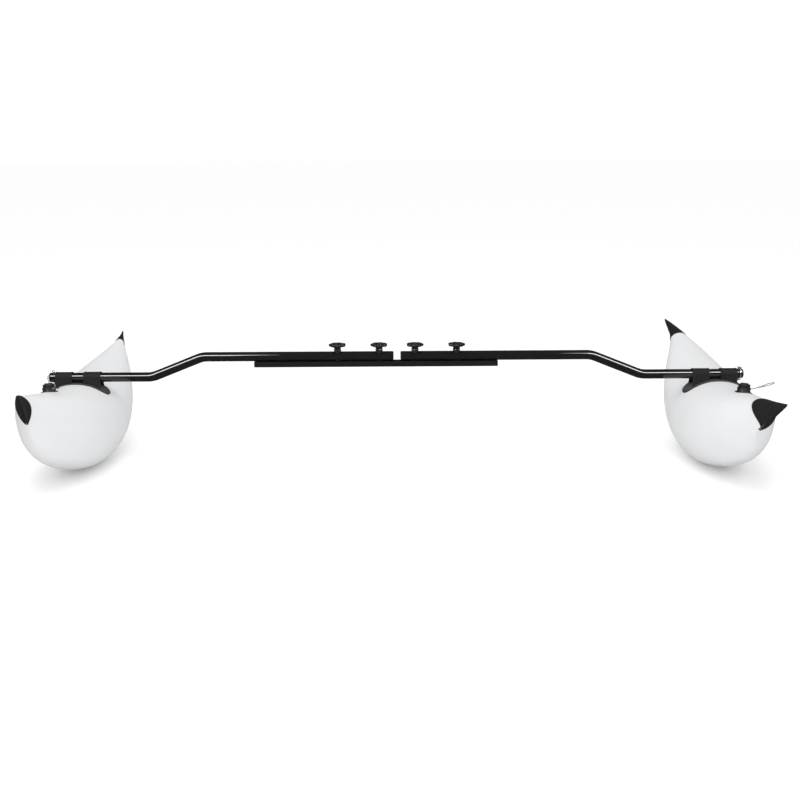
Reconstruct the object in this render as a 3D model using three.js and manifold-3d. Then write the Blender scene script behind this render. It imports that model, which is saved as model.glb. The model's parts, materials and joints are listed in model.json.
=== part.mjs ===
// Kayak outrigger: a slotted rail carries two bent arms, and each arm ends in a soft saddle on a float.
// Millimetres. +X runs along the arms, +Y away from the viewer, +Z up. The origin is on the ground below
// the gap between the two arms.
import * as THREE from "three";
import { mergeVertices } from "three/addons/utils/BufferGeometryUtils.js";
import Module from "manifold-3d";

// Driving dimensions

const GAP = 0.3; // clearance between pieces that touch
const SMALL_SIDES = 12; // facets round a small turned piece

const TUBE = {
  radius: 14,
  wall: 1.8,
  lowZ: 267, // axis of the outer, lower run
  highZ: 327, // axis of the inner run, over the rail
  innerEnd: 12, // half the gap between the two bare tubes
  highBend: 575, // corner points of the two bends
  lowBend: 726,
  outerEnd: 1027,
  bendRadius: 75,
  sides: 16,
};

const RAIL = {
  length: 720,
  centreX: -62, // the rail sits off centre under the arms
  width: 30,
  height: 15.7,
  floor: 3,
  wall: 2.8,
  lip: 3.2,
  slot: 11,
  edge: 1,
  capFace: 2,
  spigot: 10,
};
RAIL.topZ = TUBE.highZ - TUBE.radius - GAP;
RAIL.bottomZ = RAIL.topZ - RAIL.height;

const KNOB = {
  places: [53, 176], // distance of each knob from the middle of the object
  radius: 25.5,
  lobes: 7,
  notch: 3.4,
  thick: 8,
  bevel: 1.6,
  hubRadius: 11,
  hubFoot: 9.5,
  hubHeight: 7.5,
  webRadius: 14, // the hub widens to this where it meets the wheel
  recess: 2,
  capRadius: 9,
  capHeight: 4.2,
};

const STUD = { radius: 3.85, hole: 4.4, chamfer: 0.8, intoKnob: 2, aboveNutFoot: 1 };
const WASHER = { radius: 11, thick: 1.6 };
const SPACER = { radius: 10.5, height: 5.5, foot: 5 };
const NUT = { length: 24, width: 23, height: 8, neckWidth: 9.8, neckHeight: 1.6 };
const INNER_PLUG = { depth: 16, headRadius: 13.4, headLength: 1.6 };
const OUTER_PLUG = { depth: 3.8, headRadius: 14, headLength: 4 };

const FLOAT = {
  centreX: 949, // distance of each float from the middle
  halfLength: 520,
  halfWidth: 122,
  apexZ: 324, // top corner of the raised end
  crownZ: 250, // lowest point of the top line, under the tube
  crownSmooth: 0.15,
  stemY: 400, // foot of the raked end seam
  stemZ: 222,
  keelPower: 2.4,
  taper: [2.1, 0.88],
  square: 2.25, // 2 is an ellipse, more is squarer
  sag: 2.5, // how far the belly would reach below the ground that presses it flat
  seam: 1.6,
  skin: 1.2,
  hollowTo: 0.92,
  sides: 16,
  stations: 19,
};
const FLOAT_TILT = { left: -1.6, right: 1.6 }; // degrees about the tube, as they lie on the ground

const TIP = { back: 405, bulge: 24, foot: 3, thick: 1.5, tab: 3 };
const PAD = { halfLength: 101, halfWidth: 31, thick: 2 };
const SLEEVE = { inner: [-71, -20], outer: [13, 62.5], thick: 2.2, flare: 11, depth: 50, waist: 1 };

const VALVE = {
  x: 14, // outward from the float's middle line
  y: -210,
  hole: 15,
  flangeRadius: 23,
  flangeThick: 1.8,
  barrelRadius: 14,
  barrelWall: 2.5,
  barrelDepth: 16,
  rimRadius: 18.5,
  rimHeight: 5,
  capRadius: 16.5,
  capHeight: 9,
  capNotches: 8,
  notchDepth: 2.2,
  domeRadius: 11,
  domeHeight: 3,
  eye: [4, 6, 4],
};

const PIN = {
  x: 1019, // just outside the outer sleeve
  radius: 2.8,
  hole: 3.2,
  below: 21,
  headRadius: 4.2,
  headHeight: 8.5,
  crossHoleAt: 0.45, // share of the head's height
};
const CLIP = {
  radius: 21, // of the bow round the tube
  wire: 1.1,
  bowFrom: 62, // degrees above and below the horizontal, at the front of the tube
  bowTo: -50,
  hookReach: 4.6, // how far to the side of the pin the hook passes
  hookAbovePinEnd: 3,
  turn: { left: 38, right: 0 }, // degrees round the pin, from the front towards the tube's end
};

// The wire pull at each valve is one stiff wire: a lead, then a loop that comes back into the same ferrule.
// Points are measured from the valve's seat: along the lead, across it, and up.
const PULL = { radius: 1, ferruleAt: 44, ferruleLength: 8, ferruleWall: 1, pitch: 1.25 };
const PULL_LEAD = {
  right: { turn: 12, height: 4.5 },
  left: { turn: -57, height: 4.5 },
};
const PULL_POINTS = {
  right: [
    [20.6, 1.25, 4.5],
    [28, 1.25, 5],
    [36, 1.25, 7],
    [44, 1.25, 9.5],
    [52, 1.25, 12],
    [60, 4.5, 14.8],
    [70, 7.6, 18.4],
    [80, 7.8, 22],
    [88, 4.8, 24.8],
    [91.5, 0, 26],
    [88, -4.8, 24.8],
    [80, -7.8, 22],
    [70, -7.6, 18.4],
    [60, -4.5, 14.8],
    [52, -1.25, 12],
    [44.6, -1.25, 9.7],
  ],
  left: [
    [20.6, 1.25, 4.5],
    [28, 1.25, 4.6],
    [36, 1.25, 4.4],
    [44, 1.25, 4.2],
    [52, 1.25, 4.2],
    [60, 4.5, 4.2],
    [70, 7.6, 4.4],
    [80, 7.8, 4.8],
    [88, 4.8, 5.2],
    [91.5, 0, 5.4],
    [88, -4.8, 5.2],
    [80, -7.8, 4.8],
    [70, -7.6, 4.4],
    [60, -4.5, 4.2],
    [52, -1.25, 4.2],
    [44.6, -1.25, 4.2],
  ],
};

// Materials

const finish = (color, roughness, metalness) =>
  new THREE.MeshStandardMaterial({ color, roughness, metalness });
const blackTube = finish(0x0d0d0e, 0.28, 0.5);
const blackRail = finish(0x121213, 0.42, 0.5);
const blackPlastic = finish(0x131314, 0.55, 0);
const blackFabric = finish(0x19191a, 0.85, 0);
const whiteSkin = finish(0xe9e9ea, 0.38, 0);
const steel = finish(0xb9bbbe, 0.3, 0.9);
const zinc = finish(0x9a9c9f, 0.4, 0.85);

// Solids

const wasm = await Module();
wasm.setup();

function toSolid(geometry) {
  const plain = geometry.clone();
  plain.deleteAttribute("normal");
  plain.deleteAttribute("uv");
  const merged = mergeVertices(plain, 1e-4);
  const solid = new wasm.Manifold(
    new wasm.Mesh({
      numProp: 3,
      vertProperties: new Float32Array(merged.attributes.position.array),
      triVerts: new Uint32Array(merged.index.array),
    }),
  );
  return solid;
}

function toGeometry(solid) {
  const made = solid.getMesh();
  const geometry = new THREE.BufferGeometry();
  geometry.setAttribute("position", new THREE.BufferAttribute(made.vertProperties, 3));
  geometry.setIndex(new THREE.BufferAttribute(made.triVerts, 1));
  geometry.computeVertexNormals();
  return geometry;
}

function cut(body, ...tools) {
  const left = tools.reduce((solid, tool) => solid.subtract(toSolid(tool)), toSolid(body));
  return toGeometry(left);
}

function common(body, other) {
  return toGeometry(toSolid(body).intersect(toSolid(other)));
}

function join(...bodies) {
  const [first, ...rest] = bodies.map(toSolid);
  return toGeometry(rest.reduce((solid, other) => solid.add(other), first));
}

// A closed body through a row of rings with equal numbers of points; each end is closed by a fan.
function loft(rings) {
  const around = rings[0].length;
  const points = rings.flat();
  const triangles = [];
  for (let i = 0; i + 1 < rings.length; i++) {
    for (let j = 0; j < around; j++) {
      const a = i * around + j;
      const b = i * around + ((j + 1) % around);
      triangles.push([a, b, a + around], [b, b + around, a + around]);
    }
  }
  const middle = (ring) => ring.reduce((sum, p) => sum.add(p), new THREE.Vector3()).divideScalar(around);
  const lastRing = (rings.length - 1) * around;
  const startCentre = points.push(middle(rings[0])) - 1;
  const endCentre = points.push(middle(rings.at(-1))) - 1;
  for (let j = 0; j < around; j++) {
    const k = (j + 1) % around;
    triangles.push([startCentre, k, j], [endCentre, lastRing + j, lastRing + k]);
  }
  return closedSurface(points, triangles);
}

// Turns a closed set of triangles to face outwards, whichever way its rings ran.
function closedSurface(points, triangles) {
  const volume = triangles.reduce((sum, [a, b, c]) => {
    const across = new THREE.Vector3().crossVectors(points[b], points[c]);
    return sum + points[a].dot(across);
  }, 0);
  const index = triangles.flatMap(([a, b, c]) => (volume > 0 ? [a, b, c] : [a, c, b]));
  const geometry = new THREE.BufferGeometry().setFromPoints(points);
  geometry.setIndex(index);
  geometry.computeVertexNormals();
  return geometry;
}

function lathe(profile, segments) {
  const points = profile.map(([r, z]) => new THREE.Vector2(r, z));
  return new THREE.LatheGeometry(points, segments).rotateX(Math.PI / 2);
}

function upright(radius, low, high, sides = 20) {
  const rod = new THREE.CylinderGeometry(radius, radius, high - low, sides);
  return rod.rotateX(Math.PI / 2).translate(0, 0, (low + high) / 2);
}

// A flat outline pushed up along Z, with rounded edges where a bevel is given.
function plate(shape, height, bevel = 0, bevelSegments = 2) {
  const geometry = new THREE.ExtrudeGeometry(shape, {
    depth: height - 2 * bevel,
    bevelEnabled: bevel > 0,
    bevelSize: bevel,
    bevelThickness: bevel,
    bevelOffset: -bevel,
    bevelSegments,
    curveSegments: 4,
  });
  return geometry.translate(0, 0, bevel);
}

// An outline in the Y-Z plane pushed along X from one place to another.
function alongX(shape, from, to) {
  const settings = { depth: to - from, bevelEnabled: false, curveSegments: 6 };
  const geometry = new THREE.ExtrudeGeometry(shape, settings);
  return geometry.rotateX(Math.PI / 2).rotateZ(Math.PI / 2).translate(from, 0, 0);
}

function wavyOutline(radius, waves, depth, pointsPerWave) {
  const count = waves * pointsPerWave;
  const outline = Array.from({ length: count }, (_, i) => {
    const angle = (2 * Math.PI * i) / count;
    const inward = Math.pow(0.5 - 0.5 * Math.cos(waves * angle), 1.6);
    const reach = radius - depth * inward;
    return new THREE.Vector2(reach * Math.cos(angle), reach * Math.sin(angle));
  });
  return new THREE.Shape(outline);
}

function wireAlong(points, radius, sides, stepLength) {
  const path = new THREE.CatmullRomCurve3(points, false, "centripetal");
  const section = new THREE.Shape();
  section.absarc(0, 0, radius, 0, 2 * Math.PI);
  return new THREE.ExtrudeGeometry(section, {
    steps: Math.round(path.getLength() / stepLength),
    curveSegments: sides,
    extrudePath: path,
    bevelEnabled: false,
  });
}

function piece(name, geometry, material) {
  const mesh = new THREE.Mesh(geometry, material);
  mesh.name = name;
  return mesh;
}

// Rail

// The outside of the rail's section, from one upper corner round the bottom to the other.
function railSides(shape) {
  const half = RAIL.width / 2;
  const e = RAIL.edge;
  shape.lineTo(-half + e, RAIL.height);
  shape.lineTo(-half, RAIL.height - e);
  shape.lineTo(-half, e);
  shape.lineTo(-half + e, 0);
  shape.lineTo(half - e, 0);
  shape.lineTo(half, e);
  shape.lineTo(half, RAIL.height - e);
  shape.lineTo(half - e, RAIL.height);
  return shape;
}

function railOutline() {
  const inside = RAIL.width / 2 - RAIL.wall;
  const slot = RAIL.slot / 2;
  const lipBottom = RAIL.height - RAIL.lip;
  const shape = new THREE.Shape();
  shape.moveTo(-slot, RAIL.height);
  railSides(shape);
  shape.lineTo(slot, RAIL.height);
  shape.lineTo(slot, lipBottom);
  shape.lineTo(inside, lipBottom);
  shape.lineTo(inside, RAIL.floor);
  shape.lineTo(-inside, RAIL.floor);
  shape.lineTo(-inside, lipBottom);
  shape.lineTo(-slot, lipBottom);
  shape.closePath();
  return shape;
}

// The cap's face covers the end of the rail, and its spigot fills the channel and stops the slot nuts.
function railEndCap(railEnd) {
  const inside = RAIL.width - 2 * RAIL.wall - 2 * GAP;
  const spigotHeight = RAIL.height - RAIL.floor - RAIL.lip - 2 * GAP;
  const faceFrom = railEnd + GAP;
  const faceOutline = railSides(new THREE.Shape().moveTo(0, RAIL.height));
  const face = alongX(faceOutline, faceFrom, faceFrom + RAIL.capFace);
  const rooted = RAIL.capFace / 2; // the spigot starts half way into the face
  const spigot = new THREE.BoxGeometry(RAIL.spigot + rooted, inside, spigotHeight);
  spigot.translate(faceFrom + (rooted - RAIL.spigot) / 2, 0, RAIL.floor + GAP + spigotHeight / 2);
  return join(face, spigot);
}

function makeRail() {
  const group = new THREE.Group();
  group.position.set(RAIL.centreX, 0, RAIL.bottomZ);
  const half = RAIL.length / 2 - RAIL.capFace - GAP;
  group.add(piece("rail", alongX(railOutline(), -half, half), blackRail));
  for (const sideName of ["left", "right"]) {
    const cap = piece(`rail_end_cap_${sideName}`, railEndCap(half), blackPlastic);
    cap.rotation.z = sideName === "left" ? Math.PI : 0;
    group.add(cap);
  }
  return group;
}

// Arms, drawn for the right side; the left arm is the same arm turned half round

// The upward direction square to a tube that slopes down by the angle.
const squareTo = (angle) => new THREE.Vector3(Math.sin(angle), 0, Math.cos(angle));

// Places along the bent tube's centre line, with an arc at each bend.
function armPath() {
  const corners = [
    [TUBE.innerEnd, TUBE.highZ],
    [TUBE.highBend, TUBE.highZ],
    [TUBE.lowBend, TUBE.lowZ],
    [TUBE.outerEnd, TUBE.lowZ],
  ].map(([x, z]) => new THREE.Vector3(x, 0, z));
  const slope = Math.atan2(TUBE.highZ - TUBE.lowZ, TUBE.lowBend - TUBE.highBend);
  const cutBack = TUBE.bendRadius * Math.tan(slope / 2);
  const stations = [{ at: corners[0], angle: 0 }];
  const bends = [
    { corner: corners[1], before: 0, after: slope },
    { corner: corners[2], before: slope, after: 0 },
  ];
  const steps = 3;
  for (const { corner, before, after } of bends) {
    const back = new THREE.Vector3(-Math.cos(before), 0, Math.sin(before));
    const start = corner.clone().addScaledVector(back, cutBack);
    const reach = TUBE.bendRadius * Math.sign(after - before);
    const centre = start.clone().addScaledVector(squareTo(before), -reach);
    for (let i = 0; i <= steps; i++) {
      const angle = before + ((after - before) * i) / steps;
      stations.push({ at: centre.clone().addScaledVector(squareTo(angle), reach), angle });
    }
  }
  stations.push({ at: corners[3], angle: 0 });
  return stations;
}

function bentRod(radius, extra) {
  const stations = armPath();
  stations[0].at.x -= extra;
  stations.at(-1).at.x += extra;
  const rings = stations.map(({ at, angle }) =>
    Array.from({ length: TUBE.sides }, (_, j) => {
      const around = (2 * Math.PI * j) / TUBE.sides;
      const sideways = new THREE.Vector3(0, radius * Math.cos(around), 0);
      return at.clone().add(sideways).addScaledVector(squareTo(angle), radius * Math.sin(around));
    }),
  );
  return loft(rings);
}

function armTube() {
  const bore = bentRod(TUBE.radius - TUBE.wall, 1);
  const through = (x, z, radius) => {
    const hole = upright(radius, z - 2 * TUBE.radius, z + 2 * TUBE.radius, SMALL_SIDES);
    return hole.translate(x, 0, 0);
  };
  const studHoles = KNOB.places.map((x) => through(x, TUBE.highZ, STUD.hole));
  return cut(bentRod(TUBE.radius, 0), bore, ...studHoles, through(PIN.x, TUBE.lowZ, PIN.hole));
}

// A plug with a straight shank in the tube and a domed head over the tube's end.
function tubePlug({ depth, headRadius, headLength }) {
  const fit = TUBE.radius - TUBE.wall - GAP;
  const plug = lathe(
    [
      [0, -depth],
      [fit, -depth],
      [fit, GAP],
      [headRadius, GAP],
      [headRadius, GAP + headLength * 0.45],
      [headRadius * 0.9, GAP + headLength * 0.8],
      [headRadius * 0.6, GAP + headLength],
      [0, GAP + headLength],
    ],
    TUBE.sides,
  );
  return plug.rotateY(Math.PI / 2);
}

// A lobed wheel on a short hub that widens up into it, bored for the stud and recessed for the cap.
function knobGrip() {
  const { hubHeight, webRadius, thick, recess } = KNOB;
  const wheel = plate(wavyOutline(KNOB.radius, KNOB.lobes, KNOB.notch, 4), thick, KNOB.bevel, 1);
  wheel.translate(0, 0, hubHeight);
  const hub = lathe(
    [
      [0, 0],
      [KNOB.hubFoot, 0],
      [KNOB.hubRadius, hubHeight * 0.7],
      [webRadius, hubHeight + thick * 0.15],
      [webRadius, hubHeight + thick * 0.4],
      [0, hubHeight + thick * 0.4],
    ],
    SMALL_SIDES,
  );
  const top = hubHeight + thick;
  const capSeat = upright(KNOB.capRadius + GAP, top - recess, top + recess, SMALL_SIDES);
  const studBore = upright(STUD.radius + GAP, -1, hubHeight + STUD.intoKnob, SMALL_SIDES);
  return cut(join(wheel, hub), capSeat, studBore);
}

function knobCap() {
  const r = KNOB.capRadius;
  const high = KNOB.capHeight;
  return lathe(
    [
      [0, 0],
      [r, 0],
      [r, high * 0.5],
      [r * 0.87, high * 0.85],
      [r * 0.5, high],
      [0, high],
    ],
    SMALL_SIDES,
  );
}

function ring(outer, inner, height) {
  return lathe(
    [
      [inner, 0],
      [outer, 0],
      [outer, height],
      [inner, height],
      [inner, 0],
    ],
    SMALL_SIDES,
  );
}

function stud(length) {
  const r = STUD.radius;
  return lathe(
    [
      [0, 0],
      [r - STUD.chamfer, 0],
      [r, STUD.chamfer],
      [r, length],
      [0, length],
    ],
    SMALL_SIDES,
  );
}

// The spacer's foot is hollowed to sit on the round tube, and its flat top carries the washer.
function spacer() {
  const body = ring(SPACER.radius, STUD.hole, SPACER.height + SPACER.foot).translate(0, 0, -SPACER.foot);
  const saddleRadius = TUBE.radius + GAP;
  const saddle = new THREE.CylinderGeometry(saddleRadius, saddleRadius, 4 * SPACER.radius, 2 * TUBE.sides);
  saddle.rotateZ(Math.PI / 2).translate(0, 0, -TUBE.radius);
  return cut(body, saddle);
}

function slotNut() {
  const lowHalf = NUT.width / 2;
  const neck = NUT.neckWidth / 2;
  const high = NUT.height + NUT.neckHeight;
  const shape = new THREE.Shape();
  shape.moveTo(-lowHalf, 0);
  shape.lineTo(lowHalf, 0);
  shape.lineTo(lowHalf, NUT.height);
  shape.lineTo(neck, NUT.height);
  shape.lineTo(neck, high);
  shape.lineTo(-neck, high);
  shape.lineTo(-neck, NUT.height);
  shape.lineTo(-lowHalf, NUT.height);
  shape.closePath();
  const body = alongX(shape, -NUT.length / 2, NUT.length / 2);
  return cut(body, upright(STUD.radius + GAP, -1, high + 1, SMALL_SIDES));
}

// One knob with its washer, spacer, stud and slot nut, all on one upright axis.
function clampSet(label) {
  const group = new THREE.Group();
  const nutZ = RAIL.bottomZ + RAIL.floor + (RAIL.height - RAIL.floor - RAIL.lip - NUT.height) / 2;
  const tubeTop = TUBE.highZ + TUBE.radius;
  const washerZ = tubeTop + SPACER.height + GAP;
  const knobZ = washerZ + WASHER.thick + GAP;
  const studLow = nutZ + STUD.aboveNutFoot;
  const studHigh = knobZ + KNOB.hubHeight + STUD.intoKnob - GAP;
  const capZ = knobZ + KNOB.hubHeight + KNOB.thick - KNOB.recess + GAP;
  const pieces = [
    [piece(`slot_nut_${label}`, slotNut(), zinc), nutZ],
    [piece(`clamp_stud_${label}`, stud(studHigh - studLow), steel), studLow],
    [piece(`saddle_spacer_${label}`, spacer(), blackPlastic), tubeTop],
    [piece(`knob_washer_${label}`, ring(WASHER.radius, STUD.hole, WASHER.thick), steel), washerZ],
    [piece(`knob_grip_${label}`, knobGrip(), blackPlastic), knobZ],
    [piece(`knob_cap_${label}`, knobCap(), blackPlastic), capZ],
  ];
  for (const [mesh, z] of pieces) {
    mesh.position.z = z;
    group.add(mesh);
  }
  return group;
}

// Height of the pin's cross hole above the tube's axis.
const CROSS_HOLE_Z = TUBE.radius + GAP + PIN.headHeight * PIN.crossHoleAt;

function lockPin() {
  const { radius, headRadius } = PIN;
  const headLow = TUBE.radius + GAP;
  const headHigh = headLow + PIN.headHeight;
  const shaft = lathe(
    [
      [0, -PIN.below],
      [radius * 0.65, -PIN.below],
      [radius, -PIN.below + 1],
      [radius, headLow],
      [headRadius, headLow],
      [headRadius, headHigh - 1.5],
      [headRadius * 0.75, headHigh],
      [0, headHigh],
    ],
    SMALL_SIDES,
  );
  const fit = CLIP.wire + 2 * GAP;
  const crossHole = new THREE.CylinderGeometry(fit, fit, 4 * headRadius, SMALL_SIDES);
  crossHole.rotateZ(Math.PI / 2).translate(0, 0, CROSS_HOLE_Z);
  return cut(shaft, crossHole);
}

// The spring wire starts in the pin's head, goes round the front of the tube and hooks under the tube on
// the pin's lower end.
function clipWire() {
  const { radius, wire, bowFrom, bowTo, hookReach } = CLIP;
  const side = PIN.headRadius + 2 * wire; // where the wire leaves the head and turns to the front
  const points = [
    new THREE.Vector3(-PIN.headRadius * 0.7, 0, CROSS_HOLE_Z),
    new THREE.Vector3(PIN.headRadius * 0.5, 0, CROSS_HOLE_Z),
    new THREE.Vector3(PIN.headRadius + wire / 2, 0, CROSS_HOLE_Z),
    new THREE.Vector3(side, -2 * wire, CROSS_HOLE_Z),
    new THREE.Vector3(side * 0.5, -7 * wire, CROSS_HOLE_Z - wire),
  ];
  const steps = 7;
  for (let i = 0; i <= steps; i++) {
    const angle = THREE.MathUtils.degToRad(bowFrom + ((bowTo - bowFrom) * i) / steps);
    points.push(new THREE.Vector3(0, -radius * Math.cos(angle), radius * Math.sin(angle)));
  }
  const hookZ = -PIN.below + CLIP.hookAbovePinEnd;
  points.push(new THREE.Vector3(hookReach * 0.5, -hookReach * 1.5, hookZ));
  points.push(new THREE.Vector3(hookReach, 0, hookZ));
  points.push(new THREE.Vector3(hookReach, wire, hookZ));
  return wireAlong(points, wire, 4, 5);
}

function makeArm(sideName) {
  const group = new THREE.Group();
  group.rotation.z = sideName === "left" ? Math.PI : 0;
  group.add(piece(`arm_tube_${sideName}`, armTube(), blackTube));

  const inner = piece(`inner_plug_${sideName}`, tubePlug(INNER_PLUG), blackPlastic);
  inner.rotation.z = Math.PI;
  inner.position.set(TUBE.innerEnd, 0, TUBE.highZ);
  const outer = piece(`end_cap_${sideName}`, tubePlug(OUTER_PLUG), blackPlastic);
  outer.position.set(TUBE.outerEnd, 0, TUBE.lowZ);
  group.add(inner, outer);

  KNOB.places.forEach((x, i) => {
    const set = clampSet(`${sideName}_${i === 0 ? "inner" : "outer"}`);
    set.position.x = x;
    group.add(set);
  });

  const lock = new THREE.Group();
  lock.position.set(PIN.x, 0, TUBE.lowZ);
  // In the turned left arm the front is at +Y, so its wire first turns half round.
  const turned = THREE.MathUtils.degToRad(CLIP.turn[sideName]);
  lock.rotation.z = sideName === "left" ? Math.PI - turned : turned;
  lock.add(piece(`lock_pin_${sideName}`, lockPin(), steel));
  lock.add(piece(`pin_clip_${sideName}`, clipWire(), steel));
  group.add(lock);
  return group;
}

// Floats, drawn around the tube's axis above each float's middle

const drop = (z) => z - TUBE.lowZ;

// The float's section at one place along its length: the top point, the bottom point and the half width.
function section(along) {
  const t = Math.abs(along);
  const s = FLOAT.crownSmooth;
  const rise = (Math.hypot(t, s) - s) / (Math.hypot(1, s) - s);
  const [power, round] = FLOAT.taper;
  const sign = Math.sign(along) || 1;
  const keelZ = (FLOAT.stemZ + FLOAT.sag) * Math.pow(t, FLOAT.keelPower) - FLOAT.sag;
  return {
    top: [sign * FLOAT.halfLength * t, drop(FLOAT.crownZ + (FLOAT.apexZ - FLOAT.crownZ) * rise)],
    bottom: [sign * FLOAT.stemY * t, drop(keelZ)],
    halfWidth: FLOAT.seam + (FLOAT.halfWidth - FLOAT.seam) * Math.pow(1 - Math.pow(t, power), round),
  };
}

const soften = (v) => Math.sign(v) * Math.pow(Math.abs(v), 2 / FLOAT.square);

// A point of the skin: along runs from -1 at the near end to 1 at the far end, and around runs from 0 on the
// crown to pi on the keel.
function bareSkin(along, around) {
  const { top, bottom, halfWidth } = section(along);
  const up = soften(Math.cos(around));
  return new THREE.Vector3(
    halfWidth * soften(Math.sin(around)),
    (top[0] + bottom[0] + (top[0] - bottom[0]) * up) / 2,
    (top[1] + bottom[1] + (top[1] - bottom[1]) * up) / 2,
  );
}

function skinNormal(along, around) {
  const step = 0.01;
  const farther = bareSkin(Math.min(along + step, 1), around);
  const nearer = bareSkin(Math.max(along - step, -1), around);
  const lengthways = farther.sub(nearer);
  const sideways = bareSkin(along, around + step).sub(bareSkin(along, around - step));
  return sideways.cross(lengthways).normalize();
}

function skinPoint(along, around, offset = 0) {
  return bareSkin(along, around).add(skinNormal(along, around).multiplyScalar(offset));
}

// All that is below a height over the ground, in the float's own tilted frame.
function groundUpTo(height, tilt) {
  const depth = 40;
  const slab = new THREE.BoxGeometry(3 * FLOAT.halfWidth, 2 * FLOAT.halfLength, depth);
  return slab.translate(0, 0, height - depth / 2 - TUBE.lowZ).rotateX(-tilt);
}

// The skin's rings stand closer together towards the ends.
const STATIONS = Array.from({ length: FLOAT.stations }, (_, i) => {
  const even = (2 * i) / (FLOAT.stations - 1) - 1;
  return 0.65 * even + 0.35 * Math.sin((even * Math.PI) / 2);
});

// The whole float grown by offset. Every body made here has the same rings, so their faces stay parallel.
// reach leaves out the rings past that share of the length, and tab carries both end seams on by that much.
function skinBody({ offset = 0, reach = 1, tab = 0 }) {
  const rings = STATIONS.filter((along) => Math.abs(along) <= reach).map((along) =>
    Array.from({ length: FLOAT.sides }, (_, j) =>
      skinPoint(along, (2 * Math.PI * j) / FLOAT.sides, offset),
    ),
  );
  const rake = Math.atan2(FLOAT.apexZ - FLOAT.stemZ, FLOAT.halfLength - FLOAT.stemY);
  const carry = (end) => new THREE.Vector3(0, end * Math.sin(rake), -Math.cos(rake)).multiplyScalar(tab);
  const carriedOn = (ring, end) => ring.map((p) => p.clone().add(carry(end)));
  if (tab > 0) {
    rings.unshift(carriedOn(rings[0], -1));
    rings.push(carriedOn(rings.at(-1), 1));
  }
  return loft(rings);
}

// A layer of the given thickness lying on the skin, everywhere that the cutter reaches.
function layerOnSkin(cutter, { thick, gap = GAP, tab = 0 }) {
  const outside = skinBody({ offset: gap + thick, tab });
  const inside = skinBody({ offset: gap, tab: tab / 3 });
  return cut(common(outside, cutter), inside);
}

// Where something sits on top of the skin: the point and the outward direction there.
function seatOnSkin(x, y) {
  const along = y / FLOAT.halfLength;
  const share = Math.abs(x) / section(along).halfWidth;
  const around = Math.asin(Math.pow(share, FLOAT.square / 2)) * Math.sign(x);
  return { here: bareSkin(along, around), up: skinNormal(along, around) };
}

// The patch's back edge is a rounded line from the crown down to the foot of the end seam.
function tipPatch(end) {
  const { back, foot, bulge } = TIP;
  const past = FLOAT.halfLength + 40;
  const high = drop(FLOAT.apexZ) + 30;
  const low = drop(FLOAT.stemZ);
  const shape = new THREE.Shape();
  shape.moveTo(end * back, high);
  shape.lineTo(end * past, high);
  shape.lineTo(end * past, low - foot);
  shape.lineTo(end * FLOAT.stemY, low - foot);
  shape.quadraticCurveTo(end * (back - bulge), low + 40, end * back, high);
  const cutter = alongX(shape, -FLOAT.halfWidth, FLOAT.halfWidth);
  return layerOnSkin(cutter, { thick: TIP.thick, gap: 2 * GAP, tab: TIP.tab });
}

function basePad() {
  const { halfLength, halfWidth } = PAD;
  const shape = new THREE.Shape();
  shape.absarc(halfLength - halfWidth, 0, halfWidth, -Math.PI / 2, Math.PI / 2, false);
  shape.absarc(halfWidth - halfLength, 0, halfWidth, Math.PI / 2, (3 * Math.PI) / 2, false);
  const cutter = plate(shape, FLOAT.halfWidth).translate(0, 0, -FLOAT.halfWidth);
  return layerOnSkin(cutter, { thick: PAD.thick });
}

// The sleeve wraps over the tube, and its two sides flare out and end on the base pad.
function sleeveOutline(thick) {
  const r = TUBE.radius + 2 * GAP + thick;
  const flareTo = r + SLEEVE.flare;
  const shape = new THREE.Shape();
  const dip = 0.12; // radians below the tube's middle where the wrap ends and the flare starts
  const waistZ = -SLEEVE.depth * 0.42;
  shape.moveTo(flareTo, -SLEEVE.depth);
  shape.quadraticCurveTo(r + SLEEVE.waist, waistZ, r * Math.cos(dip), -r * Math.sin(dip));
  shape.absarc(0, 0, r, -dip, Math.PI + dip, false);
  shape.quadraticCurveTo(-r - SLEEVE.waist, waistZ, -flareTo, -SLEEVE.depth);
  shape.closePath();
  return shape;
}

function sleeve([from, to]) {
  const outside = alongX(sleeveOutline(SLEEVE.thick), from, to);
  const inside = alongX(sleeveOutline(0), from - 1, to + 1);
  const seat = skinBody({ offset: PAD.thick + 2 * GAP });
  return cut(outside, inside, seat);
}

function valveCap() {
  const { capHeight, domeRadius, domeHeight } = VALVE;
  const outline = wavyOutline(VALVE.capRadius, VALVE.capNotches, VALVE.notchDepth, 3);
  const grip = plate(outline, capHeight, 1, 1);
  const dome = lathe(
    [
      [0, capHeight - 1],
      [domeRadius, capHeight - 1],
      [domeRadius, capHeight + domeHeight - 1],
      [domeRadius - 1, capHeight + domeHeight],
      [0, capHeight + domeHeight],
    ],
    SMALL_SIDES,
  );
  return join(grip, dome);
}

// The barrel goes through the skin into the air chamber, and the eye on its rim holds the wire pull.
function valveBody(leadTurn, leadHeight) {
  const bore = VALVE.barrelRadius - VALVE.barrelWall;
  const low = -VALVE.barrelDepth;
  const rimLow = VALVE.flangeThick + 2 * GAP;
  const body = lathe(
    [
      [bore, low],
      [VALVE.barrelRadius, low],
      [VALVE.barrelRadius, rimLow],
      [VALVE.rimRadius, rimLow],
      [VALVE.rimRadius, rimLow + VALVE.rimHeight],
      [bore, rimLow + VALVE.rimHeight],
      [bore, low],
    ],
    16,
  );
  const eye = new THREE.BoxGeometry(...VALVE.eye);
  eye.translate(VALVE.rimRadius - GAP, PULL.pitch, leadHeight);
  return join(body, eye.rotateZ(leadTurn));
}

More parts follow.
